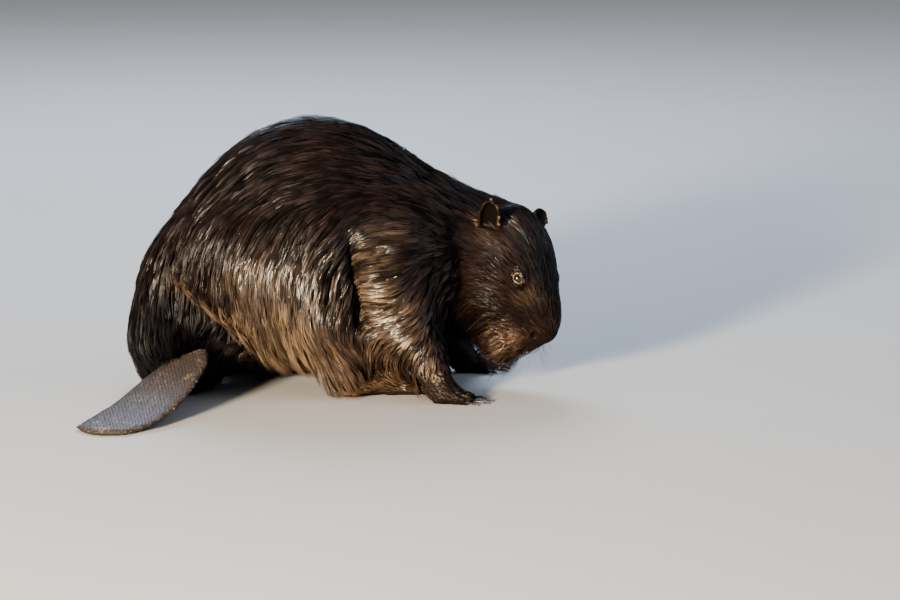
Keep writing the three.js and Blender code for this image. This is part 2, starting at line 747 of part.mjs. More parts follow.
// the origin is on the ground, under the middle of the animal's box
const box = new THREE.Box3().setFromObject(group);
const centre = box.getCenter(new THREE.Vector3());
group.position.set(-centre.x, -centre.y, -box.min.z);

export default group;
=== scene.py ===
import math

import bmesh
import bpy
import numpy as np
from mathutils import Matrix, Vector
from mathutils.bvhtree import BVHTree
from mathutils.kdtree import KDTree


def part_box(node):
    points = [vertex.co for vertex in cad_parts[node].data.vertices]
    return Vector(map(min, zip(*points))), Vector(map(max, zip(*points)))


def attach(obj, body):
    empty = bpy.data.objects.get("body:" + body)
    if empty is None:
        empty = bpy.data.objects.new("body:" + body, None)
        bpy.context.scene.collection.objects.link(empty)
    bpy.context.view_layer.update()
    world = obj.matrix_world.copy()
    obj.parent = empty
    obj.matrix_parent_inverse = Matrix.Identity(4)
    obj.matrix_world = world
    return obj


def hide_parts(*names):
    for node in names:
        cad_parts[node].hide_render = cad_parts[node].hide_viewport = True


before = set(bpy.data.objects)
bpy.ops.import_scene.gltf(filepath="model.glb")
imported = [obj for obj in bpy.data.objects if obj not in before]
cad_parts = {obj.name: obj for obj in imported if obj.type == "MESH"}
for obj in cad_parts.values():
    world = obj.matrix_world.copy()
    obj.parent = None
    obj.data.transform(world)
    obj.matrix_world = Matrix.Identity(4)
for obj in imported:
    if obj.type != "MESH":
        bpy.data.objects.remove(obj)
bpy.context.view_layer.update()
MM = 0.001
rng = np.random.default_rng(1174)

# ---------------------------------------------------------------- the animal's measures, mm
MID_Y = 103.5  # the trunk's middle plane
FLOOR_CLEAR = 0.3  # the skin of the soles lies this far above the floor

HEAD_CENTRE = np.array((257.9, 81.6, 148.0))
HEAD_PITCH = 50  # degrees, nose down
HEAD_YAW = 38  # degrees, nose to the animal's right
HEAD_ROLL = 13  # degrees, left side lower
EYE_RADIUS = 8.5
EYE_ANGLE = 23  # degrees above the head's level
EYE_CORNER_WAY = (1, 0, -0.25)  # forward, left and up, from the eye to its inner corner
LID_OPENING = 5.1  # half the opening between the lids
LID_WIDTH = 2.3  # width of the bare rim round it
LID_TUCK = 2.6  # how far behind the ball's face the lid is tucked
LID_RISE = 1.5  # how far before the ball's face the rim stands
EYE_SOCKET = 7.5  # height of the face round the lids above the ball's centre
NOSTRIL = (81.5, 24.0, -13.0)  # forward, outward, up from the head's centre

TRUNK = ("neck", "chest", "barrel", "rump", "tail_root")
THIGHS = ("thigh_right", "thigh_left")
UPPER_ARMS = ("upper_arm_right", "upper_arm_left")
FOREARMS = ("forearm_right", "forearm_left")
HANDS = ("hand_right", "hand_left")
FEET = ("foot_right", "foot_left")
EARS = ("ear_right", "ear_left")
FLESH = TRUNK + THIGHS + UPPER_ARMS + FOREARMS + HANDS + FEET + EARS + ("head", "tail_paddle")

# for each part: depth of its coat, rounds of smoothing, growth before it is joined
DEPTH = {"neck": 5.5, "chest": 6, "barrel": 6, "rump": 5.5, "tail_root": 3.5, "thigh": 6,
         "upper_arm": 5, "forearm": 3.6, "hand": 0.6, "foot": 1.1, "ear": 0.7, "head": 3.2,
         "tail_paddle": 0.4}
SMOOTHING = {"neck": 60, "chest": 60, "barrel": 60, "rump": 60, "tail_root": 40, "thigh": 60,
             "upper_arm": 45, "forearm": 30, "hand": 4, "foot": 5, "ear": 2, "head": 14,
             "tail_paddle": 10}
GROWTH = {"hand": 0.8, "foot": 1.6, "ear": 1.3}
PLAIN_GROWTH = 0.3
# the coat's hair, without face, ears, hands and feet
HAIR_LENGTH = {"neck": 34, "chest": 38, "barrel": 46, "rump": 42, "tail_root": 30,
               "thigh": 44, "upper_arm": 32, "forearm": 19}
# the way up each ear: forward, left and up of the head
EAR_LEAN = {"right": (-0.5, -0.46, 0.72), "left": (-0.5, 0.75, 0.45)}
SKIN_GRID = 4.5  # size of the skin's faces where it isn't refined
SOLE_HEIGHT = 2.2  # the soles are pressed flat below this height
FOLD_DEPTH = 17  # of the fold behind the shoulder
HOLLOW_DEPTH = 20  # of the hollow below the thigh
EDGE_RISE = 3.5  # of the thigh's rear edge


def part_of(node):
    for side in ("_right", "_left"):
        node = node.replace(side, "")
    return node


# ---------------------------------------------------------------- small helpers
def unit(vectors):
    length = np.linalg.norm(vectors, axis=-1, keepdims=True)
    return vectors / np.maximum(length, 1e-9)


def smoothstep(low, high, value):
    t = np.clip((value - low) / (high - low), 0, 1)
    return t * t * (3 - 2 * t)


def bump(centre, half_width, value):
    """1 at the centre, falling smoothly to 0 at half_width either side."""
    return 1 - smoothstep(0, half_width, np.abs(value - centre))


def head_axes():
    turn = (Matrix.Rotation(math.radians(-HEAD_YAW), 3, "Z")
            @ Matrix.Rotation(math.radians(HEAD_PITCH), 3, "Y")
            @ Matrix.Rotation(math.radians(-HEAD_ROLL), 3, "X"))
    return np.array(turn).T  # rows: forward, left, up


HEAD_AXES = head_axes()


def to_head(points):
    """Forward, left and up of the head's centre, in mm."""
    return (points - HEAD_CENTRE) @ HEAD_AXES.T


def from_head(point):
    return HEAD_CENTRE + np.asarray(point, float) @ HEAD_AXES


def head_direction(vector):
    return unit(np.asarray(vector, float) @ HEAD_AXES)


def distances(points, place):
    return np.linalg.norm(points - place, axis=1)


def node_centre(node):
    low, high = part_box(node)
    return (np.array(low) + np.array(high)) / (2 * MM)


def new_object(name, data, material=None):
    piece = bpy.data.objects.new(name, data)
    bpy.context.scene.collection.objects.link(piece)
    if material:
        data.materials.append(material)
    return piece


def made_mesh(shape, name):
    """Turns a worked shape into a mesh and lets the shape go."""
    mesh = bpy.data.meshes.new(name)
    shape.to_mesh(mesh)
    shape.free()
    return mesh


def cut_rings(shape, levels):
    """Cuts a ring of edges round the shape at each level."""
    for level in levels:
        everything = shape.verts[:] + shape.edges[:] + shape.faces[:]
        bmesh.ops.bisect_plane(shape, geom=everything, plane_co=(0, 0, level),
                               plane_no=(0, 0, 1))


def finish_piece(piece, nodes=()):
    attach(piece, "root")
    if nodes:
        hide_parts(*nodes)
    return piece


def read_values(items, key, width, kind=float):
    """One value of every vertex, edge, corner or face, as rows of this width."""
    values = np.empty(len(items) * width, kind)
    items.foreach_get(key, values)
    return values.reshape(-1, width)


def read_points(mesh):
    return read_values(mesh.vertices, "co", 3) / MM


def read_normals(mesh):
    return read_values(mesh.vertex_normals, "vector", 3)


def read_edges(mesh):
    return read_values(mesh.edges, "vertices", 2, int)


def write_points(mesh, points):
    mesh.vertices.foreach_set("co", (points * MM).astype(np.float32).ravel())
    mesh.update()


def write_values(mesh, name, values):
    """Keeps a number or a vector for each vertex, for the material to read."""
    values = np.asarray(values, np.float32)
    kind, key = ("FLOAT", "value") if values.ndim == 1 else ("FLOAT_VECTOR", "vector")
    layer = mesh.attributes.new(name, kind, "POINT")
    layer.data.foreach_set(key, values.ravel())


def relax(values, edges, share=0.5, rounds=1):
    """Draws each value towards the mean of its neighbours; share may differ by vertex."""
    count = len(values)
    degree = np.bincount(edges.ravel(), minlength=count).clip(1)
    flat = values.reshape(count, -1)
    share = np.broadcast_to(np.asarray(share, float), (count,))[:, None]
    for _ in range(rounds):
        mean = np.empty_like(flat)
        for column in range(flat.shape[1]):
            data = flat[:, column]
            total = np.bincount(edges[:, 0], data[edges[:, 1]], count)
            total += np.bincount(edges[:, 1], data[edges[:, 0]], count)
            mean[:, column] = total / degree
        flat = flat + (mean - flat) * share
    return flat.reshape(values.shape)


# ---------------------------------------------------------------- the skin
def joined_flesh():
    """All the flesh in one mesh, each part grown a little so that the parts run together."""
    whole = bmesh.new()
    for node in FLESH:
        part = bmesh.new()
        part.from_mesh(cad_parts[node].data)
        bmesh.ops.remove_doubles(part, verts=part.verts, dist=1e-5)
        part.normal_update()
        grow = GROWTH.get(part_of(node), PLAIN_GROWTH) * MM
        moved = [(v, v.normal * grow) for v in part.verts]
        for vertex, shift in moved:
            vertex.co += shift
        mesh = made_mesh(part, "part")
        whole.from_mesh(mesh)
        bpy.data.meshes.remove(mesh)
    return made_mesh(whole, "skin")


def remeshed(mesh):
    piece = new_object("skin_source", mesh)
    remesh = piece.modifiers.new("one skin", "REMESH")
    remesh.mode = "VOXEL"
    remesh.voxel_size = SKIN_GRID * MM
    depsgraph = bpy.context.evaluated_depsgraph_get()
    result = bpy.data.meshes.new_from_object(piece.evaluated_get(depsgraph))
    bpy.data.objects.remove(piece)
    result.name = "skin"
    return result


class Parts:
    """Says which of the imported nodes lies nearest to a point."""

    def __init__(self):
        points, faces, self.owner = [], [], []
        for index, node in enumerate(FLESH):
            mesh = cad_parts[node].data
            start = len(points)
            points.extend(v.co / MM for v in mesh.vertices)
            faces.extend([start + i for i in p.vertices] for p in mesh.polygons)
            self.owner.extend([index] * len(mesh.polygons))
        self.tree = BVHTree.FromPolygons(points, faces)

    def nearest(self, points):
        return np.array([self.owner[self.tree.find_nearest(Vector(p))[2]] for p in points])


def by_part(table, labels, missing=0.0):
    values = np.array([table.get(part_of(node), missing) for node in FLESH], float)
    return values[labels]


def is_part(labels, *names):
    return np.isin(labels, [FLESH.index(name) for name in names])


def smooth_body(mesh, labels):
    """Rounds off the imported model's facets, most on the trunk and least on the feet."""
    edges = read_edges(mesh)
    own = by_part(SMOOTHING, labels)
    rounds = relax(own, edges, 0.5, 6)
    rounds = np.where(own < 12, np.minimum(rounds, own + 1), rounds)
    first = read_points(mesh)
    points = first
    for step in range(int(rounds.max())):
        points = relax(points, edges, 0.5 * (rounds > step))
    write_points(mesh, points)
    normals = read_normals(mesh)
    lost = relax(((first - points) * normals).sum(1), edges, 0.5, 40)
    write_points(mesh, points + normals * lost[:, None])


def refine(mesh, chosen):
    """Splits the faces whose corners are all chosen into four."""
    body = bmesh.new()
    body.from_mesh(mesh)
    body.verts.ensure_lookup_table()
    edges = [e for e in body.edges if chosen[e.verts[0].index] and chosen[e.verts[1].index]]
    bmesh.ops.subdivide_edges(body, edges=edges, cuts=1, use_grid_fill=True, smooth=0.5)
    body.to_mesh(mesh)
    body.free()
    mesh.update()


def eye_places():
    return [("right", -1, node_centre("eye_right")), ("left", 1, node_centre("eye_left"))]


def eye_outward(side):
    angle = math.radians(EYE_ANGLE)
    return head_direction((0.08, side * math.cos(angle), math.sin(angle)))


def nostril_place(side):
    return np.array((NOSTRIL[0], side * NOSTRIL[1], NOSTRIL[2]))


def near_face_detail(points, reach):
    """True close to the eyes and the nostrils."""
    near = np.zeros(len(points), bool)
    for _, side, centre in eye_places():
        near |= distances(points, centre) < reach * 1.15
        near |= distances(points, from_head(nostril_place(side))) < reach
    return near


THIGH_EDGE = ((-202, -118, -64, 16), (163, 110, 62, 0))  # its rear edge: x, z


def flank_folds(points, labels, edges):
    """How deep, 0 to 1, the fold behind the shoulder and the hollow below the thigh are,
    and how near a point is to the thigh's rear edge."""
    x, y, z = points.T
    across = np.abs(y - MID_Y)
    groove_x = 43 - 0.12 * (z - 140)
    fold = bump(0, 15, x - groove_x) * smoothstep(50, 90, z) * (1 - smoothstep(190, 235, z))
    fold *= smoothstep(70, 100, across)
    below = np.interp(x, *THIGH_EDGE) - z
    along = smoothstep(-225, -195, x) * (1 - smoothstep(-20, 15, x))
    along *= smoothstep(70, 95, across)
    hollow = smoothstep(0, 11, below) * (1 - smoothstep(60, 100, below)) * along
    edge = bump(-8, 17, below) * along
    mine = is_part(labels, "chest", "barrel", "rump", *THIGHS, *UPPER_ARMS).astype(float)
    mine = relax(mine, edges, 0.5, 4)
    return fold * mine, hollow * mine, edge * mine


def sculpt_flank(points, normals, labels, edges):
    fold, hollow, edge = flank_folds(points, labels, edges)
    inward = FOLD_DEPTH * fold + HOLLOW_DEPTH * hollow - EDGE_RISE * edge
    return points - normals * inward[:, None]


def sculpt_eyes(points):
    """Lids: the skin is drawn into a thick rim round each opening and tucked in behind it."""
    for _, side, centre in eye_places():
        outward = eye_outward(side)
        offset = points - centre
        height = offset @ outward
        flat = offset - height[:, None] * outward
        forward = head_direction(EYE_CORNER_WAY)
        forward = unit(forward - (forward @ outward) * outward)
        ahead = flat @ forward
        above = flat @ np.cross(outward, forward)
        corner = smoothstep(0.8, 1.0, ahead / np.maximum(np.hypot(ahead, above), 1e-6))
        radius = np.hypot(ahead / 1.06, above) - 1.7 * corner
        near = (radius < 15) & (height > -9)
        ball = np.sqrt(np.maximum(EYE_RADIUS ** 2 - radius ** 2, 0))
        tucked = ball - LID_TUCK
        rim = ball + LID_RISE - 0.25 * np.abs(radius - LID_OPENING - 1.4) ** 1.5
        lid = tucked + (rim - tucked) * smoothstep(LID_OPENING - 0.6, LID_OPENING + 0.25, radius)
        outside = radius > LID_OPENING + LID_WIDTH
        share = 1 - smoothstep(LID_OPENING + LID_WIDTH, 14, radius)
        lift = (np.where(outside, EYE_SOCKET, lid) - height) * share * near
        points = points + lift[:, None] * outward
    return points


def sculpt_muzzle(points, normals):
    """Nostrils, the cleft of the upper lip and the closed mouth."""
    local = to_head(points)
    ahead, left, up = local.T
    inward = np.zeros(len(points))
    for side in (-1, 1):
        gap = (local - nostril_place(side)) @ np.array(((1, 0, 0), (0, 1, 0), (0, 0, 0.72))).T
        away = np.linalg.norm(gap, axis=1)
        inward += 5.5 * (1 - smoothstep(1.4, 4.6, away)) - 1.7 * bump(5.8, 2.6, away)
    front = smoothstep(36, 50, ahead)
    mouth_line = -50 - 0.12 * (ahead - 60)
    inward += 3.2 * bump(0, 4.2, up - mouth_line) * front
    cleft = bump(0, 3.0, left) * smoothstep(70, 80, ahead) * bump(-32, 20, up)
    inward += 2.4 * cleft
    return points - normals * inward[:, None]


class Ear:
    """One ear's own frame: its way up, its way across and the way that its hollow faces."""

    def __init__(self, name, side):
        self.node = f"ear_{name}"
        self.lean = head_direction(EAR_LEAN[name])
        across = head_direction((0.78, -side * 0.62, 0.1))
        self.across = unit(across - (across @ self.lean) * self.lean)
        facing = unit(np.cross(self.across, self.lean))
        self.facing = facing * np.sign(facing @ head_direction((0.6, side, 0)))
        points = read_points(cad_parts[self.node].data)
        spans = [points @ axis for axis in (self.across, self.lean, self.facing)]
        self.middle = [(span.max() + span.min()) / 2 for span in spans]
        self.half = [(span.max() - span.min()) / 2 for span in spans]

    def place(self, points):
        """Across and up the ear, -1 to 1, and the height in mm towards its open side."""
        out = (points @ self.across - self.middle[0]) / self.half[0]
        up = (points @ self.lean - self.middle[1]) / self.half[1]
        return out, up, points @ self.facing - self.middle[2]

    def inset(self, out, up):
        """0 at the ear's edge, 1 in its middle."""
        return 1 - np.hypot(out, np.maximum(up, 0))


def both_ears():
    return Ear("right", -1), Ear("left", 1)


def sculpt_ears(points, normals, labels, edges):
    """Each ear is a cupped leaf, with a deep hollow on its open side and a thick rim."""
    for ear in both_ears():
        mine = is_part(labels, ear.node)
        out, up, height = ear.place(points)
        wide = np.quantile(np.abs(out[mine & (up > -0.3)]), 0.97)
        out_there = np.clip(out / wide, -1.05, 1.05)
        root = smoothstep(-0.95, -0.5, up)
        inset = ear.inset(out_there, up)
        rim = smoothstep(0, 0.3, inset)
        middle = 7.0 * out_there ** 2 - 1.5 * up
        hollow = smoothstep(0.12, 0.5, inset) * smoothstep(-1.0, -0.5, up)
        fold = bump(0.35, 0.22, out_there + 0.3 * up) * bump(-0.35, 0.5, up)
        front = middle + 2.2 * rim - (6.2 - 4.0 * fold) * hollow
        back = middle - 4.6 * rim
        share = relax(smoothstep(-0.25, 0.25, normals @ ear.facing), edges, 0.5, 2)
        move = (back + (front - back) * share - height) * mine * root
        widen = (out_there - out) * ear.half[0] * mine * root
        points = points + move[:, None] * ear.facing + widen[:, None] * ear.across
    return relax(points, edges, 0.45 * is_part(labels, *EARS), 4)


def sculpt_toes(points, labels):
    """Grooves between the fingers and between the toes."""
    for limb in HANDS + FEET:
        mine = is_part(labels, limb) & (points[:, 2] > 3)
        low, high = (np.array(corner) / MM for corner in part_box(limb))
        back = np.array((low[0], (low[1] + high[1]) / 2))
        tips = sorted((node_centre(f"claw_{limb}_{i}") for i in range(1, 6)),
                      key=lambda tip: tip[1])
        for one, other in zip(tips, tips[1:]):
            front = ((one + other) / 2)[:2]
            way = (front - back) * 0.55
            offset = points[:, :2] - (front - way)
            share = np.clip(offset @ way / (way @ way), 0, 1.3)
            away = np.linalg.norm(offset - share[:, None] * way, axis=1)
            groove = bump(0, 4.0, away) * smoothstep(0, 0.4, share) * mine
            points[:, 2] -= 4.5 * groove
    return points


def coat_depth(mesh, labels, points):
    """How far the skin lies inside the outline: the coat's depth at each point."""
    depth = by_part(DEPTH, labels)
    head = is_part(labels, "head")
    ahead = to_head(points)[:, 0]
    depth = np.where(head, 3.6 - 1.9 * smoothstep(-20, 80, ahead), depth)
    return relax(depth, read_edges(mesh), 0.5, 8)


def build_skin(material):
    mesh = remeshed(joined_flesh())
    parts = Parts()
    smooth_body(mesh, parts.nearest(read_points(mesh)))
    points = read_points(mesh)
    labels = parts.nearest(points)
    refine(mesh, is_part(labels, "head", *HANDS, *FEET, *EARS))
    refine(mesh, is_part(parts.nearest(read_points(mesh)), *EARS))
    for reach in (19, 11):
        refine(mesh, near_face_detail(read_points(mesh), reach))
    points = read_points(mesh)
    labels = parts.nearest(points)
    depth = coat_depth(mesh, labels, points)
    grown = relax(by_part(GROWTH, labels, PLAIN_GROWTH), read_edges(mesh), 0.5, 3)
    points = points - read_normals(mesh) * (depth + grown)[:, None]
    write_points(mesh, points)
    points = sculpt_flank(points, read_normals(mesh), labels, read_edges(mesh))
    write_points(mesh, points)
    points = relax(points, read_edges(mesh), 0.4 * is_part(labels, *TRUNK, *THIGHS), 4)
    write_points(mesh, points)
    points = sculpt_muzzle(points, read_normals(mesh))
    points = sculpt_ears(points, read_normals(mesh), labels, read_edges(mesh))
    points = sculpt_toes(points, labels)
    points = sculpt_eyes(points)
    points[points[:, 2] < SOLE_HEIGHT, 2] = FLOOR_CLEAR
    write_points(mesh, points)
    mesh.shade_smooth()
    piece = new_object("skin", mesh, material)
    finish_piece(piece, FLESH)
    return piece, labels, depth


def unwrap(piece):
    """An unwrap of the skin's own shape; gives each vertex a place on it."""
    layer = piece.data.uv_layers.new(name="OFBake")
    layer.active = True
    bpy.context.view_layer.objects.active = piece
    piece.select_set(True)
    bpy.ops.object.mode_set(mode="EDIT")
    bpy.ops.mesh.select_all(action="SELECT")
    bpy.ops.uv.smart_project(angle_limit=math.radians(66), island_margin=0.002)
    bpy.ops.object.mode_set(mode="OBJECT")
    piece.select_set(False)
    mesh = piece.data
    corners = read_values(mesh.loops, "vertex_index", 1, int)[:, 0]
    places = np.zeros((len(mesh.vertices), 2))
    places[corners] = read_values(mesh.uv_layers["OFBake"].data, "uv", 2)
    return places


# ---------------------------------------------------------------- the coat's colours, painted highlights and painted shade
DARK_BACK = (0.0078, 0.0041, 0.0034)
# the thigh's rear edge: golden hair tips, partly their own colour and partly painted sunlight
EDGE_TINT_AND_LIGHT = (0.13, 0.090, 0.054)
# painted shade: near-black laid into the fold behind the shoulder and the hollow below the thigh
FOLD_SHADE_TINT = (0.003, 0.002, 0.002)
# painted shade: the ear's hollow darkened so that its depth shows
EAR_HOLLOW_SHADE_TINT = (0.0035, 0.0020, 0.0018)
# painted highlight: a pale cream line along each ear's rim
EAR_RIM_HIGHLIGHT_TINT = (0.13, 0.088, 0.058)
TAIL_ROOT = (-200, 40, 60)
# where the coat shines most: centre (with the distance from the middle plane), two radii
WET = [((-60, 130, 145), 50, 105), ((78, 130, 190), 55, 90), ((105, 130, 125), 30, 60)]
# where it is dull: centre, radius of no shine, radius of full shine
DULL = [(TAIL_ROOT, 70, 150), ((-195, 10, 215), 25, 85), ((180, 90, 110), 50, 80),
        ((0, 103, 40), 75, 110), ((195, 95, 60), 40, 70), ((175, -15, 18), 30, 60),
        (from_head((78, -24, -26)), 8, 34)]
# colour marks, some of them painted highlights or painted shade: name, centre in mm, radius of
# full colour, radius where it ends, colour
MARKS = [
    ("flank", (-60, -30, 130), 45, 140, (0.023, 0.0145, 0.0098)),
    ("flank_left", (-70, 237, 130), 45, 140, (0.023, 0.0145, 0.0098)),
    # painted highlights: paler patches on both flanks where the wet coat catches the light
    ("flank_glint", (-75, -25, 140), 15, 90, (0.050, 0.0335, 0.0215)),
    ("flank_glint_left", (-75, 230, 140), 15, 90, (0.050, 0.0335, 0.0215)),
    # golden low flank: partly the coat's own colour, partly painted sunlight
    ("thigh_edge_tips_and_light", (-40, -25, 70), 30, 80, (0.080, 0.053, 0.033)),
    ("arm", (85, -35, 110), 30, 80, (0.045, 0.029, 0.019)),
    ("arm_left", (75, 240, 110), 30, 80, (0.045, 0.029, 0.019)),
    # painted highlights: paler patches on the shoulders where the wet coat catches the light
    ("shoulder", (68, -20, 205), 10, 55, (0.046, 0.032, 0.022)),
    ("shoulder_low_glint", (68, -33, 140), 12, 55, (0.058, 0.040, 0.026)),
    ("shoulder_left_glint", (68, 235, 180), 12, 65, (0.046, 0.032, 0.022)),
    # painted shade: darker under the belly
    ("belly", (0, 103, 40), 75, 125, (0.010, 0.006, 0.005)),
    # painted shade: darker on the throat under the head
    ("throat", (180, 90, 110), 40, 75, (0.008, 0.005, 0.004)),
    ("head", from_head((0, 0, -15)), 85, 115, (0.0108, 0.0047, 0.0032)),
    # painted shade: the forehead, turned from the light, made near-black with a cool cast
    ("forehead_shade", from_head((20, 8, 45)), 30, 66, (0.007, 0.006, 0.007)),
    # painted highlights: cream streaks before each eye where the face catches the light
    ("brow_glint", from_head((40, -40, 16)), 6, 26, (0.050, 0.031, 0.019)),
    ("brow_glint_left", from_head((40, 40, 16)), 6, 26, (0.050, 0.031, 0.019)),
    ("below_ear", (222, 38, 208), 3, 17, (0.030, 0.018, 0.011)),
    ("ear", node_centre("ear_right"), 20, 30, (0.026, 0.013, 0.0075)),
    ("ear_left", node_centre("ear_left"), 20, 30, (0.020, 0.010, 0.007)),
    ("behind_ear", (203, 51, 240), 4, 24, (0.026, 0.012, 0.007)),
    ("lips", from_head((76, 0, -30)), 28, 44, (0.024, 0.0115, 0.0063)),
    # painted shade: darker under the jaw
    ("chin", from_head((45, 0, -104)), 28, 44, (0.010, 0.006, 0.004)),
    ("lip", from_head((66, -28, -52)), 15, 36, (0.046, 0.025, 0.013)),
    ("lip_left", from_head((66, 28, -52)), 15, 36, (0.046, 0.025, 0.013)),
    ("foot", (80, 20, 10), 60, 95, (0.050, 0.030, 0.018)),
    ("heel", (20, 25, 14), 16, 42, (0.17, 0.094, 0.040)),
    # painted shade: the far hind foot made darker than the near one
    ("foot_left", (-60, 200, 10), 70, 100, (0.04, 0.023, 0.014)),
    ("hand", (180, -20, 10), 25, 60, (0.022, 0.015, 0.011)),
    # painted highlights: a cream line of glints down the front of the near forearm
    ("forearm_glint_high", (113, -33, 90), 3, 12, (0.16, 0.12, 0.085)),
    ("forearm_glint_middle", (124, -35, 73), 3, 12, (0.20, 0.15, 0.105)),
    ("forearm_glint_low", (136, -37, 56), 3, 12, (0.20, 0.15, 0.105)),
    ("forearm_glint_wrist", (147, -38, 40), 3, 12, (0.16, 0.12, 0.085)),
    # painted shade: the root of the tail is made near-black
    ("tail_root", TAIL_ROOT, 65, 115, (0.0045, 0.0038, 0.0045)),
]


def coat_colours_with_painted_light(points, normals, edges, labels):
    """The coat's colour by its place on the body, with painted highlights and painted shade laid
    into it, and how wetly it shines there.
    """
    drift = relax(rng.normal(0, 1, len(points)), edges, 0.5, 40)
    drift *= 6 / drift.std()
    colour = np.tile(DARK_BACK, (len(points), 1))
    for _, centre, inner, outer, tint in MARKS:
        away = distances(points, centre) + drift * min(1, outer / 60)
        colour += (tint - colour) * (1 - smoothstep(inner, outer, away))[:, None]
    fold, hollow, edge = flank_folds(points, labels, edges)
    # golden thigh edge, partly hair colour and partly painted sunlight
    colour += (EDGE_TINT_AND_LIGHT - colour) * 0.65 * edge[:, None]
    # painted shade: the fold behind the shoulder and the hollow below the thigh are darkened
    # almost to black
    colour += (FOLD_SHADE_TINT - colour) * np.maximum(0.7 * fold, 0.9 * hollow)[:, None]
    for ear in both_ears():
        out, up, _ = ear.place(points)
        inside = is_part(labels, ear.node) * smoothstep(0.15, 0.4, ear.inset(out, up))
        inside *= smoothstep(-0.1, 0.2, normals @ ear.facing)
        # painted shade in the ear's hollow
        colour += (EAR_HOLLOW_SHADE_TINT - colour) * inside[:, None]
        rim = is_part(labels, ear.node) * bump(0, 0.22, ear.inset(out, up))
        # painted highlight along the ear's rim
        colour += (EAR_RIM_HIGHLIGHT_TINT - colour) * rim[:, None]
    shine = np.where(is_part(labels, "head"), 0.45, 0.3)
    aside = points * (1, 0, 1) + (0, 1, 0) * np.abs(points[:, 1:2] - MID_Y)
    for centre, inner, outer in WET:
        away = distances(aside, centre) + drift
        shine = np.maximum(shine, 1 - smoothstep(inner, outer, away))
    for centre, inner, outer in DULL:
        shine *= smoothstep(inner, outer, distances(points, centre))
    shine *= smoothstep(-0.7, -0.2, normals[:, 2])
    return colour, shine * (1 - np.maximum(fold, hollow))


# ---------------------------------------------------------------- the lie of the coat
# Guides on the right side of the body: a place and the way the hair points there. Each has
# a twin on the left side.
SIDE_LIE = [
    ((195, 30, 225), (-0.95, 0, 0.05)),
    ((190, 25, 170), (-0.8, 0, -0.5)),
    ((130, 5, 250), (-1, 0, 0.12)),
    ((100, -12, 215), (-1, 0, -0.1)),
    ((70, -30, 180), (-1, 0, -0.12)),
    ((75, -34, 135), (-1, 0, -0.05)),
    ((125, -30, 150), (-0.6, 0, -0.75)),
    ((100, -34, 100), (-0.8, 0, -0.4)),
    ((128, -34, 75), (-0.35, 0, -0.9)),
    ((150, -22, 52), (-0.1, 0, -1)),
    ((31, 20, 300), (-1, 0, 0)),
    ((-32, -4, 290), (-0.95, 0, -0.3)),
    ((17, -25, 225), (-0.6, 0, -0.7)),
    ((-37, -28, 215), (-0.35, 0, -0.9)),
    ((10, -32, 150), (-0.12, 0, -1)),
    ((-100, 0, 270), (-0.75, 0, -0.65)),
    ((-124, -15, 215), (-0.3, 0, -0.95)),
    ((-167, 20, 240), (-0.5, 0, -0.85)),
    ((-170, 5, 165), (-0.12, 0, -1)),
    ((-120, -10, 140), (0.1, 0, -1)),
    ((-58, -32, 140), (0.08, 0, -1)),
    ((-20, -30, 80), (0.4, 0, -0.9)),
    ((-70, -10, 80), (0.3, 0, -0.95)),
    ((20, -10, 60), (0.6, 0, -0.75)),
    ((-235, 43, 150), (-0.1, 0, -1)),
    ((-232, 40, 90), (0.25, 0, -0.95)),
]
MIDDLE_LIE = [
    ((180, 103, 270), (-1, 0, 0.25)),
    ((100, 103, 320), (-1, 0, 0.3)),
    ((0, 103, 366), (-1, 0, 0)),
    ((-90, 103, 340), (-0.85, 0, -0.5)),
    ((-180, 103, 280), (-0.5, 0, -0.85)),
    ((-250, 103, 180), (0, 0, -1)),
    ((-235, 103, 60), (0.5, 0, -0.8)),
    ((0, 103, 60), (-1, 0, 0)),
    ((110, 103, 70), (-1, 0, -0.1)),
    ((175, 95, 120), (-0.6, 0, -0.7)),
    # over the root of the tail, towards the paddle
    ((-195, 60, 60), (0.1, -1, -0.1)),
    ((-190, 25, 75), (0.1, -1, -0.2)),
    ((-160, 30, 90), (-0.2, -0.9, -0.3)),
    ((-150, 40, 45), (-0.3, -0.9, 0)),
]
# On the head: forward, left and up of its centre. Each has a twin on the left side.
HEAD_LIE = [
    ((96, 0, 2), (-0.3, -0.6, 0.6)),
    ((60, 0, 24), (-1, 0, 0.1)),
    ((10, 0, 44), (-1, 0, 0.1)),
    ((-50, 0, 60), (-1, 0, -0.1)),
    ((70, -28, -5), (-0.95, -0.2, 0)),
    ((30, -48, 5), (-1, 0, -0.08)),
    ((-10, -62, 10), (-1, 0, -0.2)),
    ((-60, -64, 0), (-0.95, 0, -0.35)),
    ((20, -50, -30), (-0.9, 0, -0.45)),
    ((-30, -70, -30), (-0.8, 0, -0.6)),
    ((75, -30, -38), (-0.6, -0.1, -0.75)),
    ((52, -34, -48), (-0.75, 0, -0.6)),
    ((60, -20, -80), (-0.8, 0, -0.55)),
    ((60, 0, -98), (-1, 0, -0.1)),
    ((0, -30, -75), (-1, 0, -0.2)),
    ((88, 0, -40), (-0.2, -0.5, -0.8)),
]


def limb_lie():
    """Along the fingers and toes of each hand and foot."""
    guides = []
    for name in HANDS + FEET:
        low, high = (np.array(corner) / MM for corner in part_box(name))
        middle = (low + high) / 2
        turn = -0.25 if name == "foot_right" else 0.05
        for share in (0.3, 0.7):
            place = (low[0] + share * (high[0] - low[0]), middle[1], 22 - 12 * share)
            guides.append((place, (1, turn, -0.15)))
    return guides


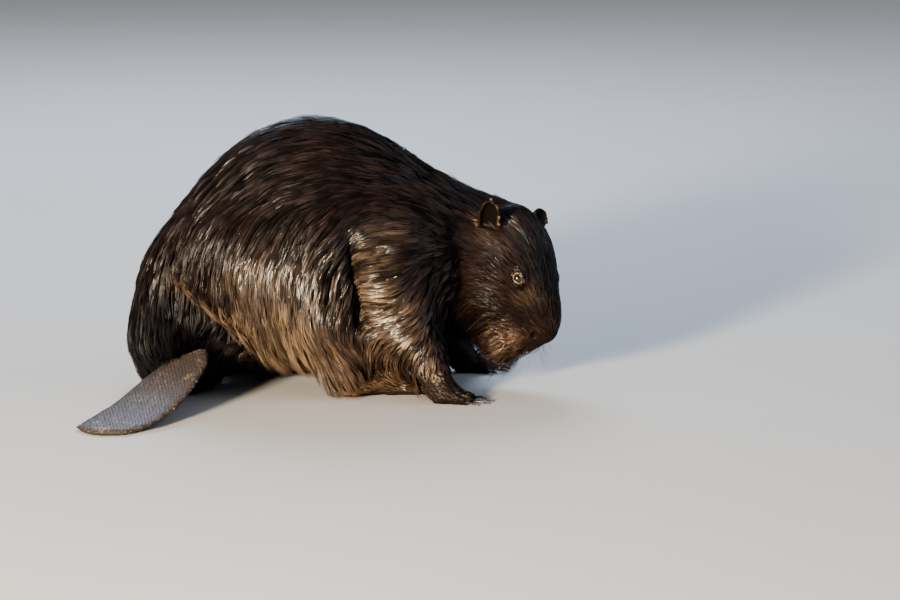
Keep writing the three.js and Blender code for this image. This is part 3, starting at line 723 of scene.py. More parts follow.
def comb():
    guides = list(MIDDLE_LIE) + limb_lie()
    for place, way in SIDE_LIE:
        guides.append((place, way))
        guides.append(((place[0], 2 * MID_Y - place[1], place[2]), way))
    for place, way in HEAD_LIE:
        for side in (1, -1) if place[1] else (1,):
            mirror = np.array((1, side, 1))
            guides.append((from_head(place * mirror), np.array(way) * mirror @ HEAD_AXES))
    places = np.array([g[0] for g in guides], float)
    ways = unit(np.array([g[1] for g in guides], float))
    return places, ways


def lie_of_coat(points, normals, edges):
    places, ways = comb()
    field = np.zeros_like(points)
    for place, way in zip(places, ways):
        away = ((points - place) ** 2).sum(1)
        field += way / (away[:, None] + 60) ** 1.6
    field = unit(field)
    field -= (field * normals).sum(1, keepdims=True) * normals
    return unit(relax(unit(field), edges, 0.5, 3))


# ---------------------------------------------------------------- locks
# a ridge or groove of the wet coat runs over this many steps of this length, in mm
STREAK_STEPS = 7
STREAK_STEP = 4.5
# clumps of hair for each mm²
COVER = {"body": 0.0197, "forearm": 0.030, "head": 0.100, "throat": 0.050, "lips": 0.075,
         "ear": 0.3, "foot": 0.085, "hand": 0.12}
SHOULDER = np.array((75, -20, 175))  # about here the wet coat lies in raised bands


class Coat:
    """What the locks need to know of the skin, at each of its vertices."""

    def __init__(self, skin, labels, depth, places):
        mesh = skin.data
        self.mesh = mesh
        self.points = read_points(mesh)
        self.normals = read_normals(mesh)
        self.lie = lie_of_coat(self.points, self.normals, read_edges(mesh))
        self.labels = labels
        self.depth = depth
        self.places = places
        # the coat's colour, with painted highlights and painted shade in it
        self.colour, self.shine = coat_colours_with_painted_light(self.points, self.normals, read_edges(mesh),
                                               labels)
        write_values(mesh, "coat_colour_and_painted_light", self.colour)
        self.tree = KDTree(len(self.points))
        for index, point in enumerate(self.points):
            self.tree.insert(point, index)
        self.tree.balance()
        self.streak = self.streaks()
        across = np.cross(self.normals, self.lie) * 3
        ahead, behind = (self.streak[self.nearest(self.points + k * across)] for k in (1, -1))
        self.slope = (ahead - behind) / 6
        fold, hollow, self.edge = flank_folds(self.points, labels, read_edges(mesh))
        self.deep = np.maximum(fold, hollow)
        self.ripple = 1 - smoothstep(30, 75, distances(self.points, SHOULDER))
        mesh.calc_loop_triangles()
        self.triangles = read_values(mesh.loop_triangles, "vertices", 3, int)

    def nearest(self, points):
        find = self.tree.find
        return np.fromiter((find(p)[1] for p in points), int, len(points))

    def streaks(self):
        """Long ridges and grooves along the lie of the coat, about 0, mostly within 2."""
        follow = self.nearest(self.points + self.lie * STREAK_STEP)
        seed = relax(rng.normal(0, 1, len(follow)), read_edges(self.mesh), 0.5, 1)
        total, place = seed.copy(), follow
        for _ in range(STREAK_STEPS):
            total += seed[place]
            place = follow[place]
        return (total - total.mean()) / total.std()

    def scatter(self, density):
        """Evenly spread random roots and the vertex nearest to each; density is for each
        vertex, per mm²."""
        a, b, c = (self.points[self.triangles[:, i]] for i in range(3))
        area = np.linalg.norm(np.cross(b - a, c - a), axis=1) / 2
        weight = area * density[self.triangles].mean(1)
        passed = np.floor(np.cumsum(weight) + rng.uniform())
        count = np.diff(passed, prepend=0).astype(int)
        chosen = np.repeat(np.arange(len(weight)), count)
        mix = rng.dirichlet((1, 1, 1), len(chosen))
        roots = (self.points[self.triangles[chosen]] * mix[:, :, None]).sum(1)
        return roots, self.triangles[chosen, np.argmax(mix, 1)]

    def paths(self, roots, vertices, lengths, steps):
        """Lines over the skin from the roots, along the lie of the coat."""
        place, near = roots.copy(), vertices
        lines, normals, ways = [], [], []
        for step in range(steps + 1):
            normal = self.normals[near]
            way = self.lie[near]
            off = ((place - self.points[near]) * normal).sum(1, keepdims=True)
            place = place - off * normal
            lines.append(place)
            normals.append(normal)
            ways.append(way)
            if step < steps:
                place = place + way * (lengths / steps)[:, None]
                near = self.nearest(place)
        return np.stack(lines, 1), np.stack(normals, 1), np.stack(ways, 1)


def lock_pattern(steps):
    """One lock: a three-sided spike parted into rings. Corners as (angle, ring)."""
    spike = bmesh.new()
    bmesh.ops.create_cone(spike, cap_ends=True, segments=3, radius1=1, radius2=0, depth=steps)
    bmesh.ops.remove_doubles(spike, verts=spike.verts, dist=1e-4)
    bmesh.ops.translate(spike, verts=spike.verts, vec=(0, 0, steps / 2))
    cut_rings(spike, range(1, steps))
    spike.normal_update()
    angle = np.array([math.atan2(v.co.y, v.co.x) for v in spike.verts])
    ring = np.array([round(v.co.z) for v in spike.verts])
    faces = [[v.index for v in f.verts] for f in spike.faces]
    spike.free()
    return angle, ring, faces


def pattern_patch(angle, ring, faces, steps):
    """Each face corner's place on the lock's small patch of the unwrap, 0 to 1."""
    corners = []
    for face in faces:
        if all(ring[i] == 0 for i in face):
            corners.extend(((0, 0), (0.3, 0), (0.15, 0.2))[: len(face)])
            continue
        turns = [angle[i] for i in face if ring[i] < steps]
        middle = math.atan2(np.mean(np.sin(turns)), np.mean(np.cos(turns)))
        for i in face:
            turn = (angle[i] - middle + math.pi) % (2 * math.pi) - math.pi
            across = 0.5 if ring[i] == steps else 0.5 + turn / (2 * math.pi)
            corners.append(((middle / (2 * math.pi)) % 1 * 0.6 + 0.4 * across,
                            ring[i] / steps))
    return np.array(corners)


PATCH = 0.003  # width of a lock's patch on the unwrap
ROUNDNESS = 0.75  # how far a lock shades as a round rod, and not as a part of the coat
SHINGLE = 0.26  # the slope of a lock against the skin, as each lies over the next


def lock_corners(angle, ring, lines, normals, ways, width, thick, tilt):
    """Where the corners of each lock lie, and which way it shades there."""
    along = ring / ring.max()
    fullness = (0.62 + 1.3 * along) * np.sqrt(np.maximum(1 - along ** 1.7, 0))
    fullness /= fullness.max()
    across = unit(np.cross(normals, ways))[:, ring]
    normals = normals[:, ring]
    points = lines[:, ring] + across * (np.cos(angle) * fullness * width[:, None])[..., None]
    points += normals * (np.sin(angle) * fullness * thick[:, None])[..., None]
    points[..., 2] = np.maximum(points[..., 2], FLOOR_CLEAR)
    lean = (0.22 * along - SHINGLE)[None, :, None] + rng.normal(0, 0.08, (len(lines), 1, 1))
    rounded = ROUNDNESS * np.cos(angle) + tilt[:, None]
    return points, unit(normals + ways[:, ring] * lean + across * rounded[..., None])


def repeat_faces(mesh, faces, count, each):
    """Gives the mesh the same faces again for every one of its locks."""
    corners = np.concatenate(faces)
    sizes = np.array([len(face) for face in faces])
    locks = np.arange(count)[:, None]
    mesh.loops.add(count * len(corners))
    mesh.loops.foreach_set("vertex_index", (corners + locks * each).ravel())
    mesh.polygons.add(count * len(sizes))
    starts = np.cumsum(sizes) - sizes
    mesh.polygons.foreach_set("loop_start", (starts + locks * len(corners)).ravel())
    mesh.update(calc_edges=True)


def build_locks(name, material, lines, normals, ways, width, thick, tilt, places, looks):
    """One mesh of many locks along their lines. Width and thickness are at the widest.
    Tilt is how far each one shades as turned about its length. Looks are the values that
    the material reads, one for each lock."""
    count, rings = lines.shape[:2]
    angle, ring, faces = lock_pattern(rings - 1)
    angle = angle + math.pi / 2 - angle[ring == 0].max()
    points, sheen = lock_corners(angle, ring, lines, normals, ways, width, thick, tilt)
    mesh = bpy.data.meshes.new(name)
    mesh.vertices.add(count * len(ring))
    write_points(mesh, points)
    repeat_faces(mesh, faces, count, len(ring))
    mesh.shade_smooth()
    patch = pattern_patch(angle, ring, faces, rings - 1)
    low, high = places.min(0), places.max(0)
    spread = 0.01 + 0.97 * (places - low) / np.maximum(high - low, 1e-6)
    layer = mesh.uv_layers.new(name="OFBake")
    layer.data.foreach_set("uv", (spread[:, None] + patch * PATCH).ravel())
    write_values(mesh, "custom_normal", sheen.reshape(-1, 3))
    write_values(mesh, "along", np.tile(ring / ring.max(), count))
    for key, values in looks.items():
        write_values(mesh, key, np.repeat(values, len(ring), axis=0))
    return finish_piece(new_object(name, mesh, material))


def grow_locks(coat, density, length, radius, hairs, gather, width, lift, wave, steps=3,
               sag=0.0, tone=0.0, vary=0.06):
    """Clumps of hairs that draw together to their tips.

    Each of these is one number, or one for each vertex of the skin: length and radius of a
    clump, how far it gathers (0 to 1), width of a hair, lift above the skin as a share of
    the coat's depth, sag of the tips in mm, how much lighter it is and how much that varies.
    """
    full = [np.broadcast_to(np.asarray(v, float), (len(coat.points),))
            for v in (length, radius, gather, width, lift, sag, tone, vary)]
    roots, near = coat.scatter(density)
    clumps = len(roots)
    length, radius, gather, width, lift, sag, tone, vary = (v[near] for v in full)
    length = length * rng.uniform(0.72, 1.2, clumps)
    lines, normals, ways = coat.paths(roots, near, length, steps)
    across = unit(np.cross(ways, normals))
    t = np.linspace(0, 1, steps + 1)
    phase = rng.uniform(0, 6.28, clumps)[:, None]
    sway = wave * np.sin(phase + 3.2 * t) * t * rng.uniform(0.3, 1, clumps)[:, None]
    ridge = coat.streak[near]
    ripple = coat.ripple[near]
    clump_tone_and_light = 0.5 + tone + (0.16 + 0.17 * ripple) * ridge + rng.normal(0, vary, clumps)
    # lighter along the thigh's rear edge as painted sunlight, darker in the fold and the hollow
    # as painted shade
    clump_tone_and_light += 0.25 * coat.edge[near] - 0.9 * coat.deep[near]

    owner = np.repeat(np.arange(clumps), hairs)
    total = len(owner)
    distance = np.sqrt(rng.uniform(0, 1, total))
    bearing = rng.uniform(0, 2 * math.pi, total)
    side = distance * np.cos(bearing)
    fore = distance * np.sin(bearing)
    spread = radius[owner][:, None] * (1 - gather[owner][:, None] * t ** 1.15)
    crown = 1 - 0.35 * side ** 2
    stack = rng.uniform(0.78, 1.08, total) * crown
    rise = np.interp(t, (0, 0.25, 0.6, 1), (-0.12, 0.7, 1.0, 0.86))
    relief = 0.18 + 0.4 * ripple
    slope = coat.slope[near] * relief * coat.depth[near]
    tilt = rng.normal(0, 0.2, clumps)
    height = coat.depth[near] * lift * np.clip(1 + relief * ridge, 0.3, 1.7)
    height = height[owner][:, None] * stack[:, None] * rise
    short = rng.uniform(0.7, 1.0, total)[:, None] * length[owner][:, None]
    missing = (short - length[owner][:, None]) * t
    line = (lines[owner]
            + across[owner] * (side[:, None] * spread + sway[owner])[..., None]
            + ways[owner] * (fore[:, None] * spread * 0.8 + missing)[..., None]
            + normals[owner] * height[..., None])
    line[..., 2] -= (sag * rng.uniform(0.6, 1.1, clumps))[owner][:, None] * t ** 1.3
    return {
        "lines": line,
        "normals": normals[owner],
        "ways": ways[owner],
        "width": width[owner] * rng.uniform(0.7, 1.15, total),
        # tone: each lock's random lightness, with its clump's painted light and painted shade
        "tone": np.clip(clump_tone_and_light[owner] + rng.normal(0, 0.08, total), 0, 1),
        "tilt": (tilt - 2.0 * slope)[owner] + rng.normal(0, 0.12, total),
        "coat_colour_and_painted_light": coat.colour[near][owner],
        "shine": coat.shine[near][owner],
        "places": coat.places[near][owner],
        "labels": coat.labels[near][owner],
    }


MOST_FACES = 190_000  # triangles in one piece of the coat
THICK_SHARE = 0.42  # a lock's thickness, as a share of its width


def lay_locks(locks, name, material, node=None):
    """Makes the locks, or those of one node, into pieces, none with too many faces."""
    chosen = is_part(locks["labels"], node) if node else locks["labels"] >= 0
    index = np.nonzero(chosen)[0]
    steps = locks["lines"].shape[1] - 1
    faces = 6 * (steps - 1) + 4
    parts = math.ceil(len(index) * faces / MOST_FACES)
    for number, share in enumerate(np.array_split(index, parts)):
        piece = name if parts == 1 else f"{name}_{number + 1}"
        width = locks["width"][share]
        build_locks(piece, material, locks["lines"][share], locks["normals"][share],
                    locks["ways"][share], width, width * THICK_SHARE,
                    locks["tilt"][share], locks["places"][share],
                    {key: locks[key][share] for key in ("tone", "coat_colour_and_painted_light", "shine")})


def bare_places(coat):
    """1 where hair grows, 0 on the soles, nose, lids, ear hollows and paddle."""
    local = to_head(coat.points)
    grows = np.ones(len(coat.points))
    grows *= 1 - is_part(coat.labels, "tail_paddle")
    sole = (coat.points[:, 2] < 6) & (coat.normals[:, 2] < -0.3)
    grows *= 1 - sole
    for _, side, centre in eye_places():
        grows *= smoothstep(8.7, 9.7, distances(coat.points, centre))
        grows *= smoothstep(5.5, 7.5, distances(local, nostril_place(side)))
    for ear in both_ears():
        out, up, _ = ear.place(coat.points)
        inside = is_part(coat.labels, ear.node) & (coat.normals @ ear.facing > 0.2)
        grows *= 1 - (inside & (ear.inset(out, up) > 0.2))
    pad = (local[:, 0] > 86) & (np.abs(local[:, 1]) < 17) & (np.abs(local[:, 2] + 8) < 14)
    return grows * (1 - pad)


def room_before_lids(coat):
    """How long a hair may grow at each vertex before it would lie over an eyelid, in mm."""
    room = np.full(len(coat.points), 60.0)
    for _, _, centre in eye_places():
        away = centre - coat.points
        along = (away * coat.lie).sum(axis=1)
        aside = np.linalg.norm(away - along[:, None] * coat.lie, axis=1)
        crosses = (along > 0) & (aside < 9.5)
        room = np.where(crosses, np.maximum(along - 6.0, 1.5), room)
    return room


def by_node(locks, slots, material):
    for nodes, slot in slots:
        for node in nodes:
            lay_locks(locks, f"coat_{node}", material, node)


def coat_body(coat, grows, material):
    """Long guard hair in wet clumps, hanging below the belly; finer on the forearms and on
    the root of the tail."""
    labels = coat.labels
    z = coat.points[:, 2]
    down = -coat.normals[:, 2]
    body = is_part(labels, *TRUNK, *THIGHS, *UPPER_ARMS, *FOREARMS)
    fine = is_part(labels, *FOREARMS, "tail_root")
    low = 1 - smoothstep(150, 260, z)
    under = body * smoothstep(0.1, 0.6, down) * (1 - smoothstep(110, 160, z))
    density = np.where(fine, COVER["forearm"], COVER["body"])
    density = density * (1 - 0.45 * smoothstep(0.3, 0.8, down))
    length = relax(by_part(HAIR_LENGTH, labels), read_edges(coat.mesh), 0.5, 6)
    locks = grow_locks(
        coat, density * body * grows, hairs=8, length=length + 14 * under,
        radius=np.where(fine, 2.4, 3.6 + 0.2 * low), gather=0.25 + 0.35 * low + 0.35 * coat.edge,
        width=np.where(fine, 0.38, 0.43 + 0.04 * low), lift=1.12 + 0.5 * coat.edge,
        wave=1.1, sag=28 * under + 8 * coat.edge, vary=0.12 + 0.2 * coat.edge)
    by_node(locks, ((TRUNK, "back_fur"), (THIGHS, "flank_fur"),
                    (UPPER_ARMS + FOREARMS, "limb_fur")), material)


def coat_head(coat, grows, material):
    """Short fine hair, longest on the cheeks, where it hangs below the jaw."""
    head = is_part(coat.labels, "head")
    ahead, _, up = to_head(coat.points).T
    forward = smoothstep(-70, 80, ahead)
    chin = head * (1 - smoothstep(-64, -50, up)) * smoothstep(-20, 30, ahead)
    jaw = head * (1 - smoothstep(-60, -35, up)) * (1 - smoothstep(20, 50, ahead))
    length = 32 - 21 * forward + 8 * (chin + jaw)
    muzzle = bump(70, 36, ahead) * bump(-42, 30, up)
    locks = grow_locks(
        coat, COVER["head"] * head * grows, hairs=4, steps=2,
        length=np.minimum(length, room_before_lids(coat)), radius=2.2 - 0.9 * forward,
        gather=0.3, width=0.38 - 0.12 * forward, lift=1.1, wave=0.2,
        sag=20 * chin + 24 * jaw, vary=0.09 + 0.25 * muzzle)
    lay_locks(locks, "coat_head", material)


def coat_throat(coat, grows, material):
    """Wet strands that hang from the chin, darkened as painted shade."""
    ahead, _, up = to_head(coat.points).T
    beard = is_part(coat.labels, "head") * (1 - smoothstep(-58, -44, up)) * bump(22, 62, ahead)
    # the lower tone is painted shade
    locks = grow_locks(coat, COVER["throat"] * beard * grows, hairs=4, length=34, radius=2.4,
                       gather=0.6, width=0.5, lift=1, wave=1.2, sag=36, tone=-0.3)
    lay_locks(locks, "coat_throat", material)


def coat_lips(coat, grows, material):
    """Spiky golden clumps round the mouth."""
    ahead, _, up = to_head(coat.points).T
    lips = is_part(coat.labels, "head") * bump(70, 32, ahead) * bump(-40, 24, up) * grows
    locks = grow_locks(coat, COVER["lips"] * lips, hairs=5, length=12, radius=1.8,
                       gather=0.96, width=0.3, lift=2.4, wave=0.9, sag=5, tone=0.12, vary=0.3)
    lay_locks(locks, "coat_lips", material)


def coat_ears(coat, grows, material):
    """Very short hair on the backs of the ears, made lighter along the rims as a painted
    highlight.
    """
    rim = np.zeros(len(coat.points))
    for ear in both_ears():
        out, up, _ = ear.place(coat.points)
        rim += is_part(coat.labels, ear.node) * bump(0, 0.35, ear.inset(out, up))
    ears = is_part(coat.labels, *EARS)
    # the lighter tone along the rims is a painted highlight
    locks = grow_locks(coat, COVER["ear"] * ears * grows, hairs=3, steps=2, length=5,
                       radius=0.8, gather=0.5, width=0.26, lift=1, wave=0.2, tone=0.15 * rim)
    lay_locks(locks, "coat_ears", material)


def coat_hands_and_feet(coat, grows, material):
    feet = is_part(coat.labels, *FEET)
    density = COVER["foot"] * feet + COVER["hand"] * is_part(coat.labels, *HANDS)
    locks = grow_locks(coat, density * grows, hairs=3, steps=2, length=5.0 * feet + 6.0,
                       radius=1.1, gather=0.5, width=0.38, lift=1.3, wave=0.3)
    by_node(locks, ((FEET, "foot_skin"), (HANDS, "hand_skin")), material)


def build_coat(coat, material):
    grows = bare_places(coat)
    for build in (coat_body, coat_head, coat_throat, coat_lips, coat_ears,
                  coat_hands_and_feet):
        build(coat, grows, material)


# ---------------------------------------------------------------- eyes, claws, whiskers
def build_eyes(material):
    for name, side, centre in eye_places():
        ball = bmesh.new()
        bmesh.ops.create_uvsphere(ball, u_segments=32, v_segments=24, radius=EYE_RADIUS * MM)
        outward = Vector(eye_outward(side))
        turn = Vector((0, 0, 1)).rotation_difference(outward).to_matrix().to_4x4()
        bmesh.ops.transform(ball, verts=ball.verts, matrix=turn)
        bmesh.ops.translate(ball, verts=ball.verts, vec=Vector(centre) * MM)
        mesh = made_mesh(ball, f"eyeball_{name}")
        mesh.shade_smooth()
        piece = new_object(f"eyeball_{name}", mesh, material(name, side, centre))
        finish_piece(piece, (f"eye_{name}",))


CLAW_WIDTH = {"foot": 3.0, "hand": 2.3}


def claw_ends(node):
    """Root and tip of the claw, in mm."""
    points = read_points(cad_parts[node].data)
    middle = points.mean(0)
    axis = np.linalg.svd(points - middle)[2][0]
    axis = axis if axis[0] > 0 else -axis
    reach = (points - middle) @ axis
    return points[reach < reach.min() + 0.5].mean(0), points[np.argmax(reach)]


def claw_shape(root, tip, thick):
    """A tapered spike from root to tip, arched upwards."""
    claw = bmesh.new()
    bmesh.ops.create_cone(claw, cap_ends=True, segments=12, radius1=1, radius2=0.12, depth=2)
    cut_rings(claw, np.linspace(-0.8, 0.8, 9))
    way = unit(tip - root)
    side = unit(np.cross((0, 0, 1), way))
    over = np.cross(way, side)
    for vertex in claw.verts:
        t = (vertex.co.z + 1) / 2
        size = thick * (1 - t) ** 0.35 * (0.9 if t < 0.99 else 0.5)
        angle = math.atan2(vertex.co.y, vertex.co.x)
        arch = 1.5 * math.sin(math.pi * t)
        place = root + (tip - root) * t + over * (arch + math.sin(angle) * size * 0.8)
        place += side * math.cos(angle) * size * 0.75
        place[2] = max(place[2], FLOOR_CLEAR)
        vertex.co = Vector(place) * MM
    bmesh.ops.recalc_face_normals(claw, faces=claw.faces)
    return claw


def build_claws(material):
    for node in sorted(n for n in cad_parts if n.startswith("claw_")):
        width = CLAW_WIDTH["foot" if "foot" in node else "hand"]
        mesh = made_mesh(claw_shape(*claw_ends(node), width), f"horn_{node}")
        mesh.shade_smooth()
        finish_piece(new_object(f"horn_{node}", mesh, material), (node,))


WHISKERS = 16  # on each side
WHISKER_WIDTH = 0.15


def build_whiskers(coat, material):
    """Thin tapered bristles from the upper lips, sweeping out, forward and down."""
    roots, ways, lengths = [], [], []
    for side in (-1, 1):
        for _ in range(WHISKERS):
            ahead = rng.uniform(62, 92)
            up = rng.uniform(-40, -20)
            guess = from_head((ahead, side * (100 - ahead) * 1.1, up))
            near = coat.nearest([guess])[0]
            roots.append(coat.points[near])
            ways.append(head_direction((rng.uniform(0.2, 0.9), side * rng.uniform(0.4, 1),
                                        rng.uniform(-0.6, 0))))
            lengths.append(rng.uniform(22, 46))
    roots, ways = np.array(roots), np.array(ways)
    t = np.linspace(0, 1, 9)
    reach = np.array(lengths)[:, None] * t
    bend = reach ** 2 * 0.006
    down = np.array((0, 0, -1.0)) - 0.3 * HEAD_AXES[0]
    lines = roots[:, None] + ways[:, None] * reach[..., None] + down * bend[..., None]
    lines[..., 2] = np.maximum(lines[..., 2], 1)
    tangents = unit(np.gradient(lines, axis=1))
    normals = unit(np.cross(tangents, np.array((0.3, 0.2, 1.0))))
    count = len(roots)
    build_locks("whiskers", material, lines, normals, tangents,
                np.full(count, WHISKER_WIDTH), np.full(count, WHISKER_WIDTH), np.zeros(count),
                rng.uniform(0, 1, (count, 2)), {"tone": rng.uniform(0.3, 1, count)})


# ---------------------------------------------------------------- the tail's scales
SCALE_LENGTH = 4.6
SCALE_WIDTH = 4.9
ROW_STEP = 0.86 * SCALE_LENGTH  # each row of plates overlaps the next a little
SCALE_HEIGHT = 0.2
HALF_ROW = 16  # plates either side of the middle, enough for the widest row
RIM_SLOPE = 0.6  # no plates where the paddle's face turns over its rim


def scale_plate():
    """One rounded plate, a unit in size: a low six-sided dome."""
    plate = bmesh.new()
    bmesh.ops.create_circle(plate, cap_ends=True, segments=6, radius=1)
    top = bmesh.ops.extrude_face_region(plate, geom=plate.faces[:])
    lifted = [v for v in top["geom"] if isinstance(v, bmesh.types.BMVert)]
    bmesh.ops.scale(plate, verts=lifted, vec=(0.62, 0.62, 1))
    bmesh.ops.translate(plate, verts=lifted, vec=(0, 0, 1))
    bmesh.ops.poke(plate, faces=[f for f in plate.faces if f.calc_center_median().z > 0.9])
    bmesh.ops.recalc_face_normals(plate, faces=plate.faces)
    return made_mesh(plate, "plate")


def lay_plate(scales, shape, hit, normal, long_way):
    way = (long_way - long_way.dot(normal) * normal).normalized()
    size = rng.uniform(0.9, 1.1)
    place = Matrix.Identity(4)
    place.col[0][:3] = way * SCALE_LENGTH * 0.66 * size * MM
    place.col[1][:3] = normal.cross(way) * SCALE_WIDTH * 0.58 * size * MM
    place.col[2][:3] = normal * SCALE_HEIGHT * size * MM
    place.col[3][:3] = (hit - normal * 0.15) * MM
    before = len(scales.verts)
    scales.from_mesh(shape)
    scales.verts.ensure_lookup_table()
    bmesh.ops.transform(scales, verts=scales.verts[before:], matrix=place)


def build_tail_scales(coat, material):
    """Rows of plates over both faces of the paddle, each row half a plate aside of the
    last."""
    tree = BVHTree.FromPolygons([Vector(p) for p in coat.points], coat.triangles.tolist())
    paddle = is_part(coat.labels, "tail_paddle")
    points = coat.points[paddle]
    middle = points.mean(0)
    flat = points[:, :2] - middle[:2]
    long_way = np.linalg.svd(flat, full_matrices=False)[2][0]
    long_way = long_way if long_way[1] < 0 else -long_way
    wide_way = np.array((-long_way[1], long_way[0]))
    reach = flat @ long_way
    shape = scale_plate()
    scales = bmesh.new()
    rows = int((reach.max() - reach.min()) / ROW_STEP)
    for face in (1, -1):
        for row in range(rows):
            along = reach.min() + (row + 0.5) * ROW_STEP
            for column in range(-HALF_ROW, HALF_ROW + 1):
                aside = (column + 0.5 * (row % 2)) * SCALE_WIDTH + rng.normal(0, 0.5)
                spot = middle[:2] + long_way * along + wide_way * aside
                start = Vector((spot[0], spot[1], 400 * face + 20))
                hit, normal, index, _ = tree.ray_cast(start, Vector((0, 0, -face)))
                if hit is None or not paddle[coat.triangles[index]].all():
                    continue
                if normal.z * face > RIM_SLOPE and hit.z > 1.5:
                    lay_plate(scales, shape, hit, normal, Vector((*long_way, 0)))
    bmesh.ops.recalc_face_normals(scales, faces=scales.faces)
    for vertex in scales.verts:
        vertex.co.z = max(vertex.co.z, FLOOR_CLEAR * MM)
    mesh = made_mesh(scales, "tail_scales")
    bpy.data.meshes.remove(shape)
    mesh.shade_smooth()
    finish_piece(new_object("tail_scales", mesh, material))


# ---------------------------------------------------------------- materials
BLACK = (0, 0, 0)


class Nodes:
    """Short calls for a node tree."""

    def __init__(self, tree):
        self.tree = tree

    def add(self, kind, inputs=None, **settings):
        node = self.tree.nodes.new(kind)
        for key, value in settings.items():
            setattr(node, key, value)
        self.feed(node, inputs or {})
        return node

    def feed(self, node, inputs):
        """Links each socket to another node's, or sets it to a plain value."""
        for key, value in inputs.items():
            if isinstance(value, bpy.types.NodeSocket):
                self.tree.links.new(value, node.inputs[key])
            else:
                node.inputs[key].default_value = value

    def place(self):
        return self.add("ShaderNodeTexCoord").outputs["Object"]

    def given(self, name, output="Fac"):
        """A value kept on the mesh itself."""
        return self.add("ShaderNodeAttribute", attribute_name=name).outputs[output]

    def math(self, operation, a, b):
        return self.add("ShaderNodeMath", {0: a, 1: b}, operation=operation).outputs[0]

    def mix(self, share, a, b):
        return self.add("ShaderNodeMix", {0: share, 6: a, 7: b}, data_type="RGBA").outputs[2]

    def ramp(self, value, low, high, start=0.0, end=1.0):
        node = self.add("ShaderNodeMapRange", {0: value, 1: low, 2: high, 3: start, 4: end},
                        interpolation_type="SMOOTHSTEP")
        return node.outputs[0]

    def cells(self, place, scale, feature="F1"):
        return self.add("ShaderNodeTexVoronoi", {"Vector": place, "Scale": scale},
                        feature=feature).outputs

    def speckled(self, place, scale, dark=BLACK, light=BLACK, smooth=0.5, rough=0.5,
                 detail=3.0):
        return self.add("ShaderNodeGroup",
                        {"Place": place, "Scale": scale, "Detail": detail, "Dark": (*dark, 1),
                         "Light": (*light, 1), "Smooth": smooth, "Rough": rough},
                        node_tree=SPECKLES).outputs

    def bumped(self, height, strength, distance):
        return self.add("ShaderNodeBump", {"Strength": strength, "Distance": distance,
                                           "Height": height}).outputs["Normal"]


def speckles():
    """Fine uneven speckles: two colours and two roughnesses run into each other."""
    group = bpy.data.node_groups.new("speckles", "ShaderNodeTree")
    for name, kind, way in (("Place", "Vector", "INPUT"), ("Scale", "Float", "INPUT"),
                            ("Detail", "Float", "INPUT"), ("Dark", "Color", "INPUT"),
                            ("Light", "Color", "INPUT"), ("Smooth", "Float", "INPUT"),
                            ("Rough", "Float", "INPUT"), ("Colour", "Color", "OUTPUT"),
                            ("Roughness", "Float", "OUTPUT"), ("Speckle", "Float", "OUTPUT")):
        group.interface.new_socket(name, in_out=way, socket_type=f"NodeSocket{kind}")
    nodes = Nodes(group)
    own = nodes.add("NodeGroupInput").outputs
    speckle = nodes.add("ShaderNodeTexNoise",
                        {"Vector": own["Place"], "Scale": own["Scale"],
                         "Detail": own["Detail"], "Roughness": 0.55}).outputs["Fac"]
    nodes.add("NodeGroupOutput", {
        "Colour": nodes.mix(speckle, own["Dark"], own["Light"]),
        "Roughness": nodes.ramp(speckle, 0.2, 0.8, own["Smooth"], own["Rough"]),
        "Speckle": speckle})
    return group


SPECKLES = speckles()


def new_material(name):
    """A material, the calls for its nodes and its shader."""
    material = bpy.data.materials.new(name)
    material.use_nodes = True
    return material, Nodes(material.node_tree), material.node_tree.nodes["Principled BSDF"]


def lock_material():
    """Wet hair: dark at the root, lighter to the tip, each lock a little different, with painted
    cream glints on the tips of the palest locks.
    """
    material, nodes, shader = new_material("wet_locks")
    base = nodes.given("coat_colour_and_painted_light", "Vector")
    tone = nodes.given("tone")
    along = nodes.given("along")
    patches = nodes.speckled(nodes.place(), 60.0, smooth=0.34, rough=0.46)
    light = nodes.math("MULTIPLY", nodes.ramp(tone, 0.1, 0.9, 0.4, 2.1),
                       nodes.ramp(along, 0.0, 0.8, 0.7, 1.2))
    light = nodes.math("MULTIPLY", light, nodes.ramp(patches["Speckle"], 0.3, 0.7, 0.75, 1.25))
    scaled = nodes.add("ShaderNodeVectorMath", {0: base, "Scale": light},
                       operation="SCALE").outputs["Vector"]
    strength = nodes.add("ShaderNodeRGBToBW", {0: base}).outputs[0]
    # painted highlight: the tips of the palest locks on the paler parts of the coat are mixed
    # towards cream
    pale = nodes.math("MULTIPLY", nodes.ramp(tone, 0.6, 0.95), nodes.ramp(along, 0.1, 0.7))
    pale = nodes.math("MULTIPLY", pale, nodes.ramp(strength, 0.012, 0.07, 0.0, 0.5))
    nodes.feed(shader, {
        "Base Color": nodes.mix(pale, scaled, (0.36, 0.27, 0.18, 1)),
        "Roughness": patches["Roughness"],
        "Coat Weight": nodes.math("MULTIPLY", nodes.given("shine"), 0.85),
        "IOR": 1.33, "Coat Roughness": 0.2, "Coat IOR": 1.6})
    return material


